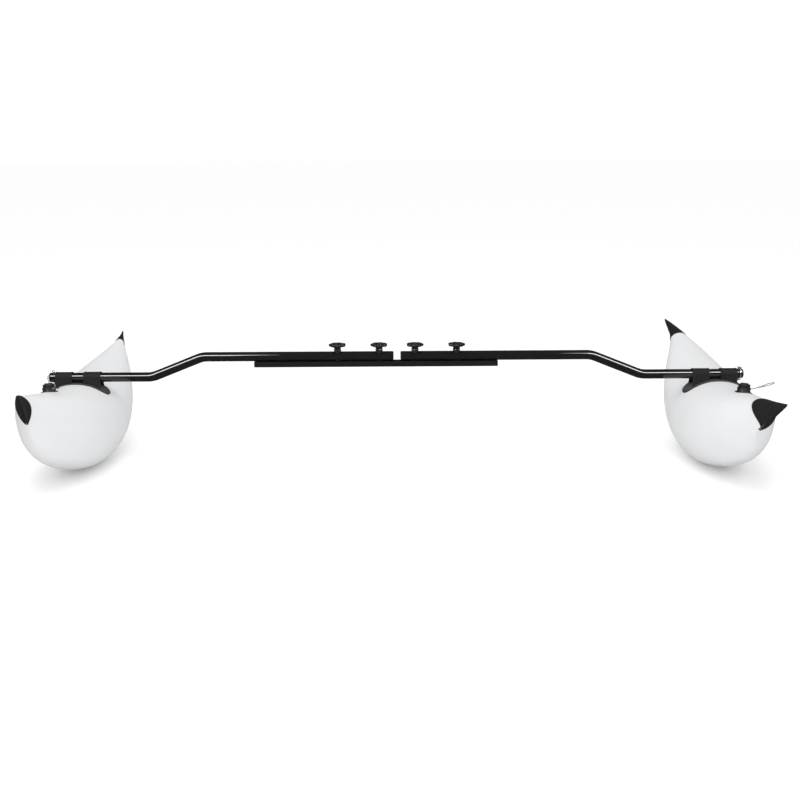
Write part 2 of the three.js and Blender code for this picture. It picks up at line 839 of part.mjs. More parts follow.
// The flange follows the curve of the skin round the valve.
function valveFlange(x) {
  const around = 18;
  const circle = (radius, offset) =>
    Array.from({ length: around }, (_, j) => {
      const angle = (2 * Math.PI * (j + 0.5)) / around;
      const { here, up } = seatOnSkin(x + radius * Math.cos(angle), VALVE.y + radius * Math.sin(angle));
      return here.add(up.multiplyScalar(offset));
    });
  const top = GAP + VALVE.flangeThick;
  return closedRing([
    circle(VALVE.hole, GAP),
    circle(VALVE.flangeRadius, GAP),
    circle(VALVE.flangeRadius, top * 0.7),
    circle(VALVE.flangeRadius - 1, top),
    circle(VALVE.hole, top),
  ]);
}

// A ring-shaped body: its loops follow one another round the ring's section, and the last meets the first.
function closedRing(loops) {
  const around = loops[0].length;
  const triangles = [];
  loops.forEach((_, i) => {
    const next = ((i + 1) % loops.length) * around;
    for (let j = 0; j < around; j++) {
      const k = (j + 1) % around;
      triangles.push([i * around + j, i * around + k, next + j], [i * around + k, next + k, next + j]);
    }
  });
  return closedSurface(loops.flat(), triangles);
}

// An oval crimp round the two runs of the wire.
function ferrule() {
  const oval = (r) => {
    const path = new THREE.Shape();
    path.absarc(PULL.pitch, 0, r, -Math.PI / 2, Math.PI / 2, false);
    path.absarc(-PULL.pitch, 0, r, Math.PI / 2, (3 * Math.PI) / 2, false);
    return path;
  };
  const shape = oval(PULL.radius + GAP + PULL.ferruleWall);
  shape.holes.push(oval(PULL.radius + GAP));
  return alongX(shape, 0, PULL.ferruleLength);
}

function makeFloat(sideName) {
  const outward = sideName === "left" ? -1 : 1;
  const tilt = THREE.MathUtils.degToRad(FLOAT_TILT[sideName]);
  const group = new THREE.Group();
  group.position.set(outward * FLOAT.centreX, 0, TUBE.lowZ);
  group.rotation.x = tilt;

  const valveX = outward * VALVE.x;
  const seat = seatOnSkin(valveX, VALVE.y);
  const valveTurn = new THREE.Quaternion().setFromUnitVectors(new THREE.Vector3(0, 0, 1), seat.up);
  const valve = new THREE.Group();
  valve.position.copy(seat.here);
  valve.quaternion.copy(valveTurn);

  const hole = upright(VALVE.hole, -VALVE.hole, VALVE.hole, 2 * SMALL_SIDES).applyQuaternion(valveTurn);
  hole.translate(...seat.here.toArray());
  const wholeChamber = skinBody({ offset: -FLOAT.skin, reach: FLOAT.hollowTo });
  const chamber = cut(wholeChamber, groundUpTo(FLOAT.skin, tilt));
  const body = cut(skinBody({}), groundUpTo(0, tilt), chamber, hole);
  group.add(piece(`float_${sideName}`, body, whiteSkin));
  group.add(piece(`tip_near_${sideName}`, tipPatch(-1), blackFabric));
  group.add(piece(`tip_far_${sideName}`, tipPatch(1), blackFabric));
  group.add(piece(`base_pad_${sideName}`, basePad(), blackFabric));

  const mirrored = (span) => span.map((x) => outward * x).sort((a, b) => a - b);
  group.add(piece(`sleeve_inner_${sideName}`, sleeve(mirrored(SLEEVE.inner)), blackFabric));
  group.add(piece(`sleeve_outer_${sideName}`, sleeve(mirrored(SLEEVE.outer)), blackFabric));
  group.add(piece(`valve_flange_${sideName}`, valveFlange(valveX), blackPlastic));

  const lead = PULL_LEAD[sideName];
  const leadTurn = THREE.MathUtils.degToRad(lead.turn);
  valve.add(piece(`valve_body_${sideName}`, valveBody(leadTurn, lead.height), blackPlastic));
  const cap = piece(`valve_cap_${sideName}`, valveCap(), blackPlastic);
  cap.position.z = VALVE.flangeThick + VALVE.rimHeight + 3 * GAP;
  valve.add(cap);

  const pull = new THREE.Group();
  pull.rotation.z = leadTurn;
  const route = PULL_POINTS[sideName].map((p) => new THREE.Vector3(...p));
  pull.add(piece(`valve_pull_${sideName}`, wireAlong(route, PULL.radius, 4, 6), blackPlastic));
  const crimp = piece(`pull_ferrule_${sideName}`, ferrule(), zinc);
  const [before, after] = [route[3], route[4]];
  crimp.position.set(PULL.ferruleAt, 0, before.z);
  crimp.rotation.y = -Math.atan2(after.z - before.z, after.x - before.x);
  pull.add(crimp);
  valve.add(pull);
  group.add(valve);
  return group;
}

const outrigger = new THREE.Group();
outrigger.add(makeRail());
for (const sideName of ["left", "right"]) {
  outrigger.add(makeArm(sideName));
  outrigger.add(makeFloat(sideName));
}

export default outrigger;
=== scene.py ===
"""Looks of the kayak outrigger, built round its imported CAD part, in millimetres until a mesh is made."""

import json
import math

import bmesh
import bpy
import numpy as np
from mathutils import Matrix, Vector


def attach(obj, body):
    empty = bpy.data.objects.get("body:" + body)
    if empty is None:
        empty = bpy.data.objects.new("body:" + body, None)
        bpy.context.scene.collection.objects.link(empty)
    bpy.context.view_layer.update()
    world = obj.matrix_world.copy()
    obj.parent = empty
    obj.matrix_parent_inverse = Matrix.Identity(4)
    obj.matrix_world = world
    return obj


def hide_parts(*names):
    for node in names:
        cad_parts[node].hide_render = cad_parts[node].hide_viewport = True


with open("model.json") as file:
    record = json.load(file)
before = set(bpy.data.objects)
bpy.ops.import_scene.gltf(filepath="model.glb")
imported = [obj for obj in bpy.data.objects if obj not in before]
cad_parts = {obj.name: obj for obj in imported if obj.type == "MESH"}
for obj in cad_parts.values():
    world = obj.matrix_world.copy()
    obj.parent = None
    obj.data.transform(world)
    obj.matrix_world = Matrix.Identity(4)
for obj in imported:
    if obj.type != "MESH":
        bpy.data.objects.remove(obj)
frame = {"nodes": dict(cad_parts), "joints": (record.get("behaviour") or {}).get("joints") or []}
bpy.context.view_layer.update()
MM = 0.001
SIDES = {"left": -1, "right": 1}

# Sizes of the arms and the rail, the same as in the part's source
GAP = 0.3
TUBE_R, TUBE_WALL, LOW_Z, HIGH_Z = 14.0, 1.8, 267.0, 327.0
INNER_END, HIGH_BEND, LOW_BEND, OUTER_END, BEND_R = 12.0, 575.0, 726.0, 1027.0, 75.0
RAIL_X, RAIL_HALF, RAIL_W, RAIL_H = -62.0, 357.7, 30.0, 15.7
RAIL_LOW = HIGH_Z - TUBE_R - GAP - RAIL_H
RAIL_FLOOR, RAIL_WALL, RAIL_LIP, RAIL_SLOT = 3.0, 2.8, 3.2, 11.0
KNOB_PLACES = {"inner": 53.0, "outer": 176.0}
KNOB_LOBES, KNOB_NOTCH, KNOB_BORE, KNOB_CAP_SEAT = 7, 3.4, 9.5, 13.5
SPACER_H, WASHER_T = 5.5, 1.6
TUBE_TOP = HIGH_Z + TUBE_R
WASHER_Z = TUBE_TOP + SPACER_H + GAP
KNOB_Z = WASHER_Z + WASHER_T + GAP
CAP_Z = KNOB_Z + KNOB_CAP_SEAT + GAP
STUD_LOW, STUD_HIGH, STUD_R = 301.75, KNOB_Z + KNOB_BORE - GAP, 3.85
STUD_BORE, PIN_BORE = 4.4, 3.2
PIN_X, PIN_R, PIN_HEAD, PIN_LOW, PIN_HIGH = 1019.0, 2.8, 4.2, TUBE_R + GAP, TUBE_R + GAP + 8.5
CROSS_Z = PIN_LOW + (PIN_HIGH - PIN_LOW) * 0.45
CLIP_TURN = {"left": math.radians(-38), "right": 0.0}

# Form of the floats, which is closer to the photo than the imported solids
FLOAT_X, FLOAT_L, FLOAT_W = 949.0, 530.0, 119.0
APEX_Z, CROWN_Z, CROWN_SMOOTH = 324.5, 250.0, 0.36
STEM_Y, STEM_Z, KEEL_POWER, SAG, SEAM = 446.0, 225.0, 1.9, 2.5, 1.6
TAPER_POWER, TAPER_ROUND, SQUARE, SQUARE_TOP, LEAN_POWER = 2.43, 1.415, 2.125, 2.55, 8
# A float's tilt in degrees, its crown line's offset and slant, and each end's lean at the apex and the foot
LIE = {
    "left": {"tilt": -1.8, "aside": 0.8, "slant": 0.0224, "near": (29.5, 17.0), "far": (-13.5, -16.0)},
    "right": {"tilt": 1.7, "aside": 4.9, "slant": 0.0152, "near": (9.8, -29.6), "far": (-26.5, 5.0)},
}
HULL_SIDES = 96

# An end patch's back edge, from its foot over a bend to the crown: distance from the middle, and height
PATCH_EDGES = {
    "left": {"near": [(456, 228), (425, 290), (480, 316)], "far": [(470, 250), (452, 288), (452, 313)]},
    "right": {"near": [(455, 235), (402, 286), (372, 300)], "far": [(470, 250), (420, 275), (410, 305)]},
}
PAD_HALF, PAD_R, PAD_TOP = 91.0, 31.0, 2.3
SLEEVES = {"inner": (-71.0, -20.0), "outer": (13.0, 62.5)}
SLEEVE_REACH, SLEEVE_DIP = TUBE_R + 2 * GAP, 0.12
CAP_ABOVE_FOOT = 7.7

# The wire pulls, with the route's points from the part's source: along the lead, across it, and up
PULL_R, PULL_HALF_GAP = 1.0, 1.25
PULL_TURN = {"left": math.radians(-57), "right": math.radians(12)}
PULL_POINTS = {
    "right": [
        (20.6, 1.25, 4.5), (28, 1.25, 5), (36, 1.25, 7), (44, 1.25, 9.5), (52, 1.25, 12),
        (60, 4.5, 14.8), (70, 7.6, 18.4), (80, 7.8, 22), (88, 4.8, 24.8), (91.5, 0, 26), (88, -4.8, 24.8),
        (80, -7.8, 22), (70, -7.6, 18.4), (60, -4.5, 14.8), (52, -1.25, 12), (44.6, -1.25, 9.7),
    ],
    "left": [
        (20.6, 1.25, 4.5), (28, 1.25, 4.6), (36, 1.25, 4.4), (44, 1.25, 4.2), (52, 1.25, 4.2),
        (60, 4.5, 4.2), (70, 7.6, 4.4), (80, 7.8, 4.8), (88, 4.8, 5.2), (91.5, 0, 5.4), (88, -4.8, 5.2),
        (80, -7.8, 4.8), (70, -7.6, 4.4), (60, -4.5, 4.2), (52, -1.25, 4.2), (44.6, -1.25, 4.2),
    ],
}


# Materials


class Shader:
    """A material with one Principled shader, whose textures are measured in the object's own metres."""

    def __init__(self, name, colour, roughness, metallic=0.0, coat=0.0, specular=0.5):
        self.material = bpy.data.materials.new(name)
        self.material.use_nodes = True
        self.nodes = self.material.node_tree.nodes
        self.links = self.material.node_tree.links
        self.shader = self.nodes["Principled BSDF"]
        self.colour = colour
        self.shader.inputs["Base Color"].default_value = (*colour, 1)
        self.shader.inputs["Roughness"].default_value = roughness
        self.shader.inputs["Metallic"].default_value = metallic
        self.shader.inputs["Coat Weight"].default_value = coat
        self.shader.inputs["Specular IOR Level"].default_value = specular
        self.place = self.nodes.new("ShaderNodeTexCoord").outputs["Object"]
        self.bump = None

    def stretched(self, scale):
        mapping = self.nodes.new("ShaderNodeMapping")
        mapping.inputs["Scale"].default_value = scale
        self.links.new(self.place, mapping.inputs["Vector"])
        return mapping.outputs["Vector"]

    def noise(self, size, detail=3.0, stretch=(1, 1, 1)):
        node = self.nodes.new("ShaderNodeTexNoise")
        node.inputs["Scale"].default_value = 1000 / size
        node.inputs["Detail"].default_value = detail
        self.links.new(self.stretched(stretch), node.inputs["Vector"])
        return node.outputs["Fac"]

    def cells(self, size):
        node = self.nodes.new("ShaderNodeTexVoronoi")
        node.inputs["Scale"].default_value = 1000 / size
        self.links.new(self.place, node.inputs["Vector"])
        return node.outputs["Distance"]

    def bands(self, size, direction):
        node = self.nodes.new("ShaderNodeTexWave")
        node.bands_direction = direction
        node.inputs["Scale"].default_value = 1000 / size / math.pi
        node.inputs["Distortion"].default_value = 0.4
        self.links.new(self.place, node.inputs["Vector"])
        return node.outputs["Fac"]

    def ramp(self, source, low, high, start=0.3, end=0.7):
        node = self.nodes.new("ShaderNodeMapRange")
        node.inputs["From Min"].default_value = start
        node.inputs["From Max"].default_value = end
        node.inputs["To Min"].default_value = low
        node.inputs["To Max"].default_value = high
        self.links.new(source, node.inputs["Value"])
        return node.outputs["Result"]

    def vary_roughness(self, source, low, high):
        self.links.new(self.ramp(source, low, high), self.shader.inputs["Roughness"])
        return self

    def vary_colour(self, source, dark, light):
        node = self.nodes.new("ShaderNodeValToRGB")
        node.color_ramp.elements[0].position = 0.3
        node.color_ramp.elements[1].position = 0.7
        node.color_ramp.elements[0].color = (*[c * dark for c in self.colour], 1)
        node.color_ramp.elements[1].color = (*[c * light for c in self.colour], 1)
        self.links.new(source, node.inputs["Fac"])
        self.links.new(node.outputs["Color"], self.shader.inputs["Base Color"])
        return self

    def relief(self, source, depth, strength=1.0):
        node = self.nodes.new("ShaderNodeBump")
        node.inputs["Strength"].default_value = strength
        node.inputs["Distance"].default_value = depth * MM
        self.links.new(source, node.inputs["Height"])
        if self.bump:
            self.links.new(self.bump, node.inputs["Normal"])
        self.bump = node.outputs["Normal"]
        self.links.new(self.bump, self.shader.inputs["Normal"])
        return self


def weave(shader, pitch, depth):
    """Yarns that cross on every face, whichever way it turns."""
    for direction in "XYZ":
        shader.relief(shader.bands(pitch, direction), depth, 0.6)
    return shader


def make_materials():
    black = (0.009, 0.009, 0.0095)
    tube = Shader("powder_coated_tube", black, 0.3, coat=1.0, specular=0.0)
    tube.vary_roughness(tube.noise(30), 0.26, 0.34).relief(tube.noise(1.6, 2), 0.006, 0.4)
    rail = Shader("anodised_rail", (0.012, 0.012, 0.0125), 0.36, specular=0.05)
    rail.vary_roughness(rail.noise(8, 4, (0.03, 1, 1)), 0.3, 0.42)
    rail.relief(rail.noise(0.7, 3, (0.02, 1, 1)), 0.02, 0.4)
    plastic = Shader("moulded_plastic", black, 0.45, specular=0.35)
    plastic.vary_roughness(plastic.noise(12), 0.4, 0.52).relief(plastic.cells(0.6), 0.03, 0.35)
    knob = Shader("knob_plastic", black, 0.25)
    knob.vary_roughness(knob.noise(9), 0.2, 0.3).relief(knob.cells(0.5), 0.01, 0.3)
    webbing = Shader("sleeve_webbing", (0.013, 0.013, 0.0135), 0.72, specular=0.12)
    webbing.vary_colour(webbing.noise(5), 0.8, 1.3)
    weave(webbing, 1.3, 0.12)
    patch = Shader("coated_patch", (0.015, 0.015, 0.0155), 0.5, specular=0.18)
    patch.vary_colour(patch.noise(14), 0.85, 1.2).vary_roughness(patch.noise(10), 0.42, 0.58)
    weave(patch, 0.9, 0.03)
    pad = Shader("pad_webbing", (0.075, 0.075, 0.076), 0.6, specular=0.2)
    pad.vary_colour(pad.noise(6), 0.85, 1.2).relief(pad.bands(2.2, "X"), 0.25, 0.8)
    weave(pad, 1.1, 0.05)
    edge = Shader("patch_edge", (0.007, 0.007, 0.008), 0.4)
    edge.vary_roughness(edge.noise(4), 0.35, 0.5).relief(edge.noise(0.8), 0.03, 0.4)
    white = Shader("white_coated_cloth", (0.725, 0.73, 0.738), 0.5, specular=0.2)
    white.vary_roughness(white.noise(60, 4), 0.45, 0.56).vary_colour(white.noise(150), 0.985, 1.01)
    weave(white, 1.1, 0.012)
    white.relief(white.noise(34, 3), 0.25, 0.35)
    steel = Shader("polished_steel", (0.62, 0.63, 0.64), 0.2, metallic=1.0)
    steel.vary_roughness(steel.noise(3, 5), 0.14, 0.28).relief(steel.noise(0.9, 3, (1, 1, 0.1)), 0.01, 0.3)
    zinc = Shader("zinc_plate", (0.45, 0.46, 0.48), 0.38, metallic=1.0)
    zinc.vary_roughness(zinc.cells(1.5), 0.3, 0.5).vary_colour(zinc.noise(3), 0.8, 1.1)
    coat = Shader("coated_wire", black, 0.4)
    coat.vary_roughness(coat.noise(6), 0.33, 0.46).relief(coat.noise(0.6), 0.02, 0.4)
    thread = Shader("sewing_thread", (0.03, 0.03, 0.031), 0.6)
    thread.vary_colour(thread.noise(1.2), 0.7, 1.3).relief(thread.noise(0.4), 0.05, 0.6)
    made = dict(tube=tube, rail=rail, plastic=plastic, knob=knob, webbing=webbing, patch=patch, pad=pad)
    made.update(edge=edge, white=white, steel=steel, zinc=zinc, coat=coat, thread=thread)
    return {name: shader.material for name, shader in made.items()}


MATERIALS = make_materials()


# Meshes


def link_object(name, data):
    obj = bpy.data.objects.new(name, data)
    bpy.context.scene.collection.objects.link(obj)
    return obj


def add_object(name, points, faces, look, body, sharp=35.0, second=None):
    """An object from points in millimetres; second gives another look and the faces that take it."""
    mesh = bpy.data.meshes.new(name)
    mesh.from_pydata((np.asarray(points, float).reshape(-1, 3) * MM).tolist(), [], faces)
    mesh.materials.append(MATERIALS[look])
    if second:
        mesh.materials.append(MATERIALS[second[0]])
        for polygon, chosen in zip(mesh.polygons, second[1]):
            polygon.material_index = int(chosen)
    face_outwards(mesh)
    finish_mesh(mesh, sharp)
    obj = link_object(name, mesh)
    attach(obj, body)
    return obj


def face_outwards(mesh):
    """Merges points that coincide and turns all faces outwards."""
    edit = bmesh.new()
    edit.from_mesh(mesh)
    bmesh.ops.remove_doubles(edit, verts=edit.verts, dist=2e-6)
    bmesh.ops.recalc_face_normals(edit, faces=edit.faces)
    edit.to_mesh(mesh)
    edit.free()


def finish_mesh(mesh, sharp):
    mesh.shade_smooth()
    mesh.set_sharp_from_angle(angle=math.radians(sharp))


def ring_faces(rows, cols, closed):
    faces = []
    for i in range(rows if closed else rows - 1):
        here, below = i * cols, (i + 1) % rows * cols
        for j in range(cols):
            k = (j + 1) % cols
            faces.append((here + j, here + k, below + k, below + j))
    return faces


def loft(rings, closed=False):
    """Points and faces through rings of equal count; an open loft gets a flat face at each end."""
    rings = np.asarray(rings, float)
    rows, cols = rings.shape[:2]
    faces = ring_faces(rows, cols, closed)
    if not closed:
        faces.append(tuple(range(cols)))
        faces.append(tuple(range((rows - 1) * cols, rows * cols)))
    return rings.reshape(-1, 3), faces


def joined(*lofts):
    """Points and faces of several lofts together."""
    points, faces = [], []
    for some_points, some_faces in lofts:
        faces += [tuple(i + len(points) for i in face) for face in some_faces]
        points += some_points.tolist()
    return points, faces


def bow(t, start, bend, end):
    """A curve from the start to the end that heads for the bend at first."""
    return (1 - t) ** 2 * start + 2 * t * (1 - t) * bend + t * t * end


def rounded(corners, radius, steps=4, closed=False):
    """The outline with small curves for corners. A third number in a corner is its own radius."""
    count = len(corners)
    out = []
    for i, corner in enumerate(corners):
        here = np.array(corner[:2], float)
        reach = corner[2] if len(corner) > 2 else radius
        if reach == 0 or (not closed and i in (0, count - 1)):
            out.append(here)
            continue
        before = np.array(corners[i - 1][:2], float) - here
        after = np.array(corners[(i + 1) % count][:2], float) - here
        start = here + before * min(reach / np.linalg.norm(before), 0.5)
        end = here + after * min(reach / np.linalg.norm(after), 0.5)
        out += [bow(k / steps, start, here, end) for k in range(steps + 1)]
    return np.array(out)


def turned(profile, sides=48, dent=None):
    """Rings round the Z axis from (radius, height) or (radius, height, share of the dent) rows."""
    angles = np.linspace(0, 2 * math.pi, sides, endpoint=False)
    rings = []
    for row in profile:
        inward = row[2] * dent(angles) if dent and len(row) > 2 else 0
        reach = row[0] - inward
        z = np.full(sides, row[1])
        rings.append(np.stack([reach * np.cos(angles), reach * np.sin(angles), z], -1))
    return np.array(rings)


def moved(points, matrix):
    points = np.asarray(points, float)
    m = np.array(matrix)
    return points @ m[:3, :3].T + m[:3, 3]


def smooth_path(points, per_span=10):
    """A centripetal curve through the points, as the part's source draws it."""
    p = np.array(points, float)
    p = np.vstack([2 * p[0] - p[1], p, 2 * p[-1] - p[-2]])
    out = []
    for i in range(1, len(p) - 2):
        p0, p1, p2, p3 = p[i - 1 : i + 3]
        d = [np.linalg.norm(b - a) ** 0.5 for a, b in ((p0, p1), (p1, p2), (p2, p3))]
        t1 = d[0]
        t2 = t1 + d[1]
        t3 = t2 + d[2]
        for t in np.linspace(t1, t2, per_span, endpoint=False):
            a1 = (t1 - t) / t1 * p0 + t / t1 * p1
            a2 = (t2 - t) / (t2 - t1) * p1 + (t - t1) / (t2 - t1) * p2
            a3 = (t3 - t) / (t3 - t2) * p2 + (t - t2) / (t3 - t2) * p3
            b1 = (t2 - t) / t2 * a1 + t / t2 * a2
            b2 = (t3 - t) / (t3 - t1) * a2 + (t - t1) / (t3 - t1) * a3
            out.append((t2 - t) / (t2 - t1) * b1 + (t - t1) / (t2 - t1) * b2)
    out.append(p[-2])
    return np.array(out)


def along_path(path, radius, sides=16, rounded_ends=True):
    """Rings of a wire along a path, carried on without twist, with softly rounded ends."""
    tangents = np.gradient(path, axis=0)
    tangents /= np.linalg.norm(tangents, axis=1)[:, None]
    across = np.cross(tangents[0], (0.3, 0.2, 1.0))
    across /= np.linalg.norm(across)
    rings = []
    angles = np.linspace(0, 2 * math.pi, sides, endpoint=False)
    for point, tangent in zip(path, tangents):
        across = across - tangent * (across @ tangent)
        across /= np.linalg.norm(across)
        up = np.cross(tangent, across)
        rings.append(point + radius * (np.cos(angles)[:, None] * across + np.sin(angles)[:, None] * up))
    rings = np.array(rings)
    if rounded_ends:
        tips = []
        for end, sign in ((0, -1), (-1, 1)):
            middle = path[end]
            for share in (0.5, 0.87):
                drop = math.sqrt(1 - share**2)
                ring = middle + (rings[end] - middle) * drop + sign * tangents[end] * radius * share
                tips.append(ring)
        rings = np.vstack([[tips[1]], [tips[0]], rings, [tips[2]], [tips[3]]])
    return rings


def carve(obj, cutters, sharp=35.0):
    """Cuts the other objects out of obj for good and removes them."""
    for cutter in cutters:
        tool = obj.modifiers.new("carve", "BOOLEAN")
        tool.operation = "DIFFERENCE"
        tool.solver = "EXACT"
        tool.object = cutter
    bpy.context.view_layer.update()
    graph = bpy.context.evaluated_depsgraph_get()
    made = bpy.data.meshes.new_from_object(obj.evaluated_get(graph))
    obj.modifiers.clear()
    obj.data = made
    finish_mesh(made, sharp)
    for cutter in cutters:
        bpy.data.objects.remove(cutter)


def rod_cutter(radius, start, end, sides=32):
    """A plain rod between two points, for carving."""
    start, end = np.array(start, float), np.array(end, float)
    points, faces = loft(along_path(np.array([start, end]), radius, sides, rounded_ends=False))
    mesh = bpy.data.meshes.new("cutter")
    mesh.from_pydata((points * MM).tolist(), [], faces)
    face_outwards(mesh)
    return link_object("cutter", mesh)


def half_turn(side):
    """The left arm is the right one turned half round the Z axis."""
    return Matrix.Rotation(math.pi, 4, "Z") if side == "left" else Matrix.Identity(4)


def shift(x, y, z):
    return Matrix.Translation((x, y, z))


# Arms


def arm_stations(steps=14):
    """Centre line of the bent tube with the angle of its slope."""
    slope = math.atan2(HIGH_Z - LOW_Z, LOW_BEND - HIGH_BEND)
    back = BEND_R * math.tan(slope / 2)
    places = [(INNER_END, HIGH_Z, 0.0), (INNER_END + 180, HIGH_Z, 0.0), (INNER_END + 360, HIGH_Z, 0.0)]
    for corner_x, corner_z, before, after in (
        (HIGH_BEND, HIGH_Z, 0.0, slope),
        (LOW_BEND, LOW_Z, slope, 0.0),
    ):
        start_x = corner_x - back * math.cos(before)
        start_z = corner_z + back * math.sin(before)
        reach = BEND_R * (1 if after > before else -1)
        centre_x = start_x - reach * math.sin(before)
        centre_z = start_z - reach * math.cos(before)
        for i in range(steps + 1):
            angle = before + (after - before) * i / steps
            places.append((centre_x + reach * math.sin(angle), centre_z + reach * math.cos(angle), angle))
    places.append((LOW_BEND + 150, LOW_Z, 0.0))
    places.append((OUTER_END, LOW_Z, 0.0))
    return places


def arm_rings(radius, sides=56):
    angles = np.linspace(0, 2 * math.pi, sides, endpoint=False)
    rings = []
    for x, z, slope in arm_stations():
        up = radius * np.sin(angles)
        ring = np.stack([x + up * math.sin(slope), radius * np.cos(angles), z + up * math.cos(slope)], -1)
        rings.append(ring)
    return np.array(rings)


def make_tube(side):
    """The bent tube with a small bevel at its ends, bored for the two studs and the lock pin."""
    bevel = 0.35
    outside = arm_rings(TUBE_R)
    inside = arm_rings(TUBE_R - TUBE_WALL)[::-1]
    ends = [arm_rings(TUBE_R - bevel)[i] for i in (0, -1)]
    outside[0][:, 0] += bevel
    outside[-1][:, 0] -= bevel
    rings = moved(np.concatenate([[ends[0]], outside, [ends[1]], inside]), half_turn(side))
    points, faces = loft(rings, closed=True)
    tube = add_object(f"arm_tube_{side}_fine", points, faces, "tube", f"arm_{side}", sharp=28)
    sign, reach = SIDES[side], 25
    bores = [(x, HIGH_Z, STUD_BORE) for x in KNOB_PLACES.values()] + [(PIN_X, LOW_Z, PIN_BORE)]
    cutters = [rod_cutter(r, (sign * x, 0, z - reach), (sign * x, 0, z + reach)) for x, z, r in bores]
    carve(tube, cutters, sharp=28)
    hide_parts(f"arm_tube_{side}")


def make_plug(name, side, depth, head, tube_end, outward):
    """A moulded plug: a shank in the tube, and a domed head of a radius and length over the tube's end."""
    fit = TUBE_R - TUBE_WALL - GAP
    head_radius, head_length = head
    x, z = tube_end
    corners = [
        (0, -depth),
        (fit - 1, -depth),
        (fit, -depth + 2),
        (fit, GAP, 0),
        (head_radius - 0.2, GAP, 0.2),
        (head_radius, GAP + 0.3),
        (head_radius, GAP + head_length * 0.5, 0.8),
        (head_radius * 0.88, GAP + head_length * 0.86, 1.5),
        (head_radius * 0.6, GAP + head_length, 2),
        (0, GAP + head_length),
    ]
    turn = Matrix.Rotation(math.pi / 2 if outward else -math.pi / 2, 4, "Y")
    place = half_turn(side) @ shift(x, 0, z) @ turn
    points, faces = loft(moved(turned(rounded(corners, 0.6), 56), place))
    plug = add_object(f"{name}_fine", points, faces, "plastic", f"arm_{side}")
    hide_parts(name)


def dent_of(waves, depth, power=1.6):
    return lambda angles: depth * (0.5 - 0.5 * np.cos(waves * angles)) ** power


def make_knob(side, which):
    """A moulded star knob: hub, filleted web, scalloped wheel with a crowned top, and a round cap."""
    x = KNOB_PLACES[which]
    body = f"knob_{side}_{which}"
    hub = [(0, KNOB_BORE), (4.15, KNOB_BORE), (4.15, 0.4), (4.6, 0), (9.0, 0), (9.5, 0.35), (9.9, 2.2)]
    web = [(10.5, 4.4), (11.6, 5.9), (13.6, 7.0), (16.5, 7.45, 0.05), (20.0, 7.6, 0.3), (22.6, 7.75, 0.75)]
    rim = [(24.2, 8.3, 0.95), (25.1, 9.4, 1), (25.45, 10.8, 1), (25.5, 12.0, 1), (25.3, 13.2, 1)]
    crown = [(24.7, 14.2, 1), (23.5, 14.95, 0.95), (21.5, 15.4, 0.8), (18.5, 15.5, 0.45), (15.0, 15.15, 0.15)]
    seat = [(12.5, 15.0, 0.03), (11.2, 15.3), (10.2, 15.5), (9.5, 15.4), (9.3, 15.1)]
    seat += [(9.3, KNOB_CAP_SEAT), (0, KNOB_CAP_SEAT)]
    place = half_turn(side) @ shift(x, 0, KNOB_Z)
    rings = turned(hub + web + rim + crown + seat, KNOB_LOBES * 16, dent_of(KNOB_LOBES, KNOB_NOTCH))
    points, faces = loft(moved(rings, place))
    grip = add_object(f"knob_grip_{side}_{which}_fine", points, faces, "knob", body, sharp=50)
    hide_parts(f"knob_grip_{side}_{which}")

    cap_corners = [(0, 0), (8.9, 0, 0.1), (9, 2.4, 0.8), (8.1, 3.3, 0.8), (7.3, 3.1, 0.4)]
    cap_corners += [(6.9, 3.6, 0.5), (4.5, 4.2, 2), (0, 4.2)]
    place = half_turn(side) @ shift(x, 0, CAP_Z)
    points, faces = loft(moved(turned(rounded(cap_corners, 0.4), 56), place))
    cap = add_object(f"knob_cap_{side}_{which}_fine", points, faces, "knob", body)
    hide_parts(f"knob_cap_{side}_{which}")

    make_stud(side, which, x, body)


def make_stud(side, which, x, body):
    """The stud's thread is a helix: its radius rises and falls once per pitch, and turns with the angle."""
    pitch, depth, sides = 1.25, 0.62, 24
    heights = np.arange(0, STUD_HIGH - STUD_LOW + 1e-6, pitch / 6)
    angles = np.linspace(0, 2 * math.pi, sides, endpoint=False)
    rings = []
    top = heights[-1]
    for z in heights:
        turn = (z / pitch - angles / (2 * math.pi)) % 1
        radius = STUD_R - depth * np.abs(2 * turn - 1)
        radius = np.minimum(radius, STUD_R - 0.8 + min(z, top - z))
        rings.append(np.stack([radius * np.cos(angles), radius * np.sin(angles), np.full(sides, z)], -1))
    place = half_turn(side) @ shift(x, 0, STUD_LOW)
    points, faces = loft(moved(np.array(rings), place))
    rod = add_object(f"clamp_stud_{side}_{which}_fine", points, faces, "steel", body, sharp=40)
    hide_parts(f"clamp_stud_{side}_{which}")


def make_washer(side, which):
    corners = [(STUD_BORE, 0), (11, 0), (11, WASHER_T), (STUD_BORE, WASHER_T)]
    outline = rounded(corners, 0.4, closed=True)
    place = half_turn(side) @ shift(KNOB_PLACES[which], 0, WASHER_Z)
    points, faces = loft(moved(turned(outline, 56), place), closed=True)
    washer = add_object(f"knob_washer_{side}_{which}_fine", points, faces, "steel", f"washer_{side}_{which}")
    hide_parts(f"knob_washer_{side}_{which}")


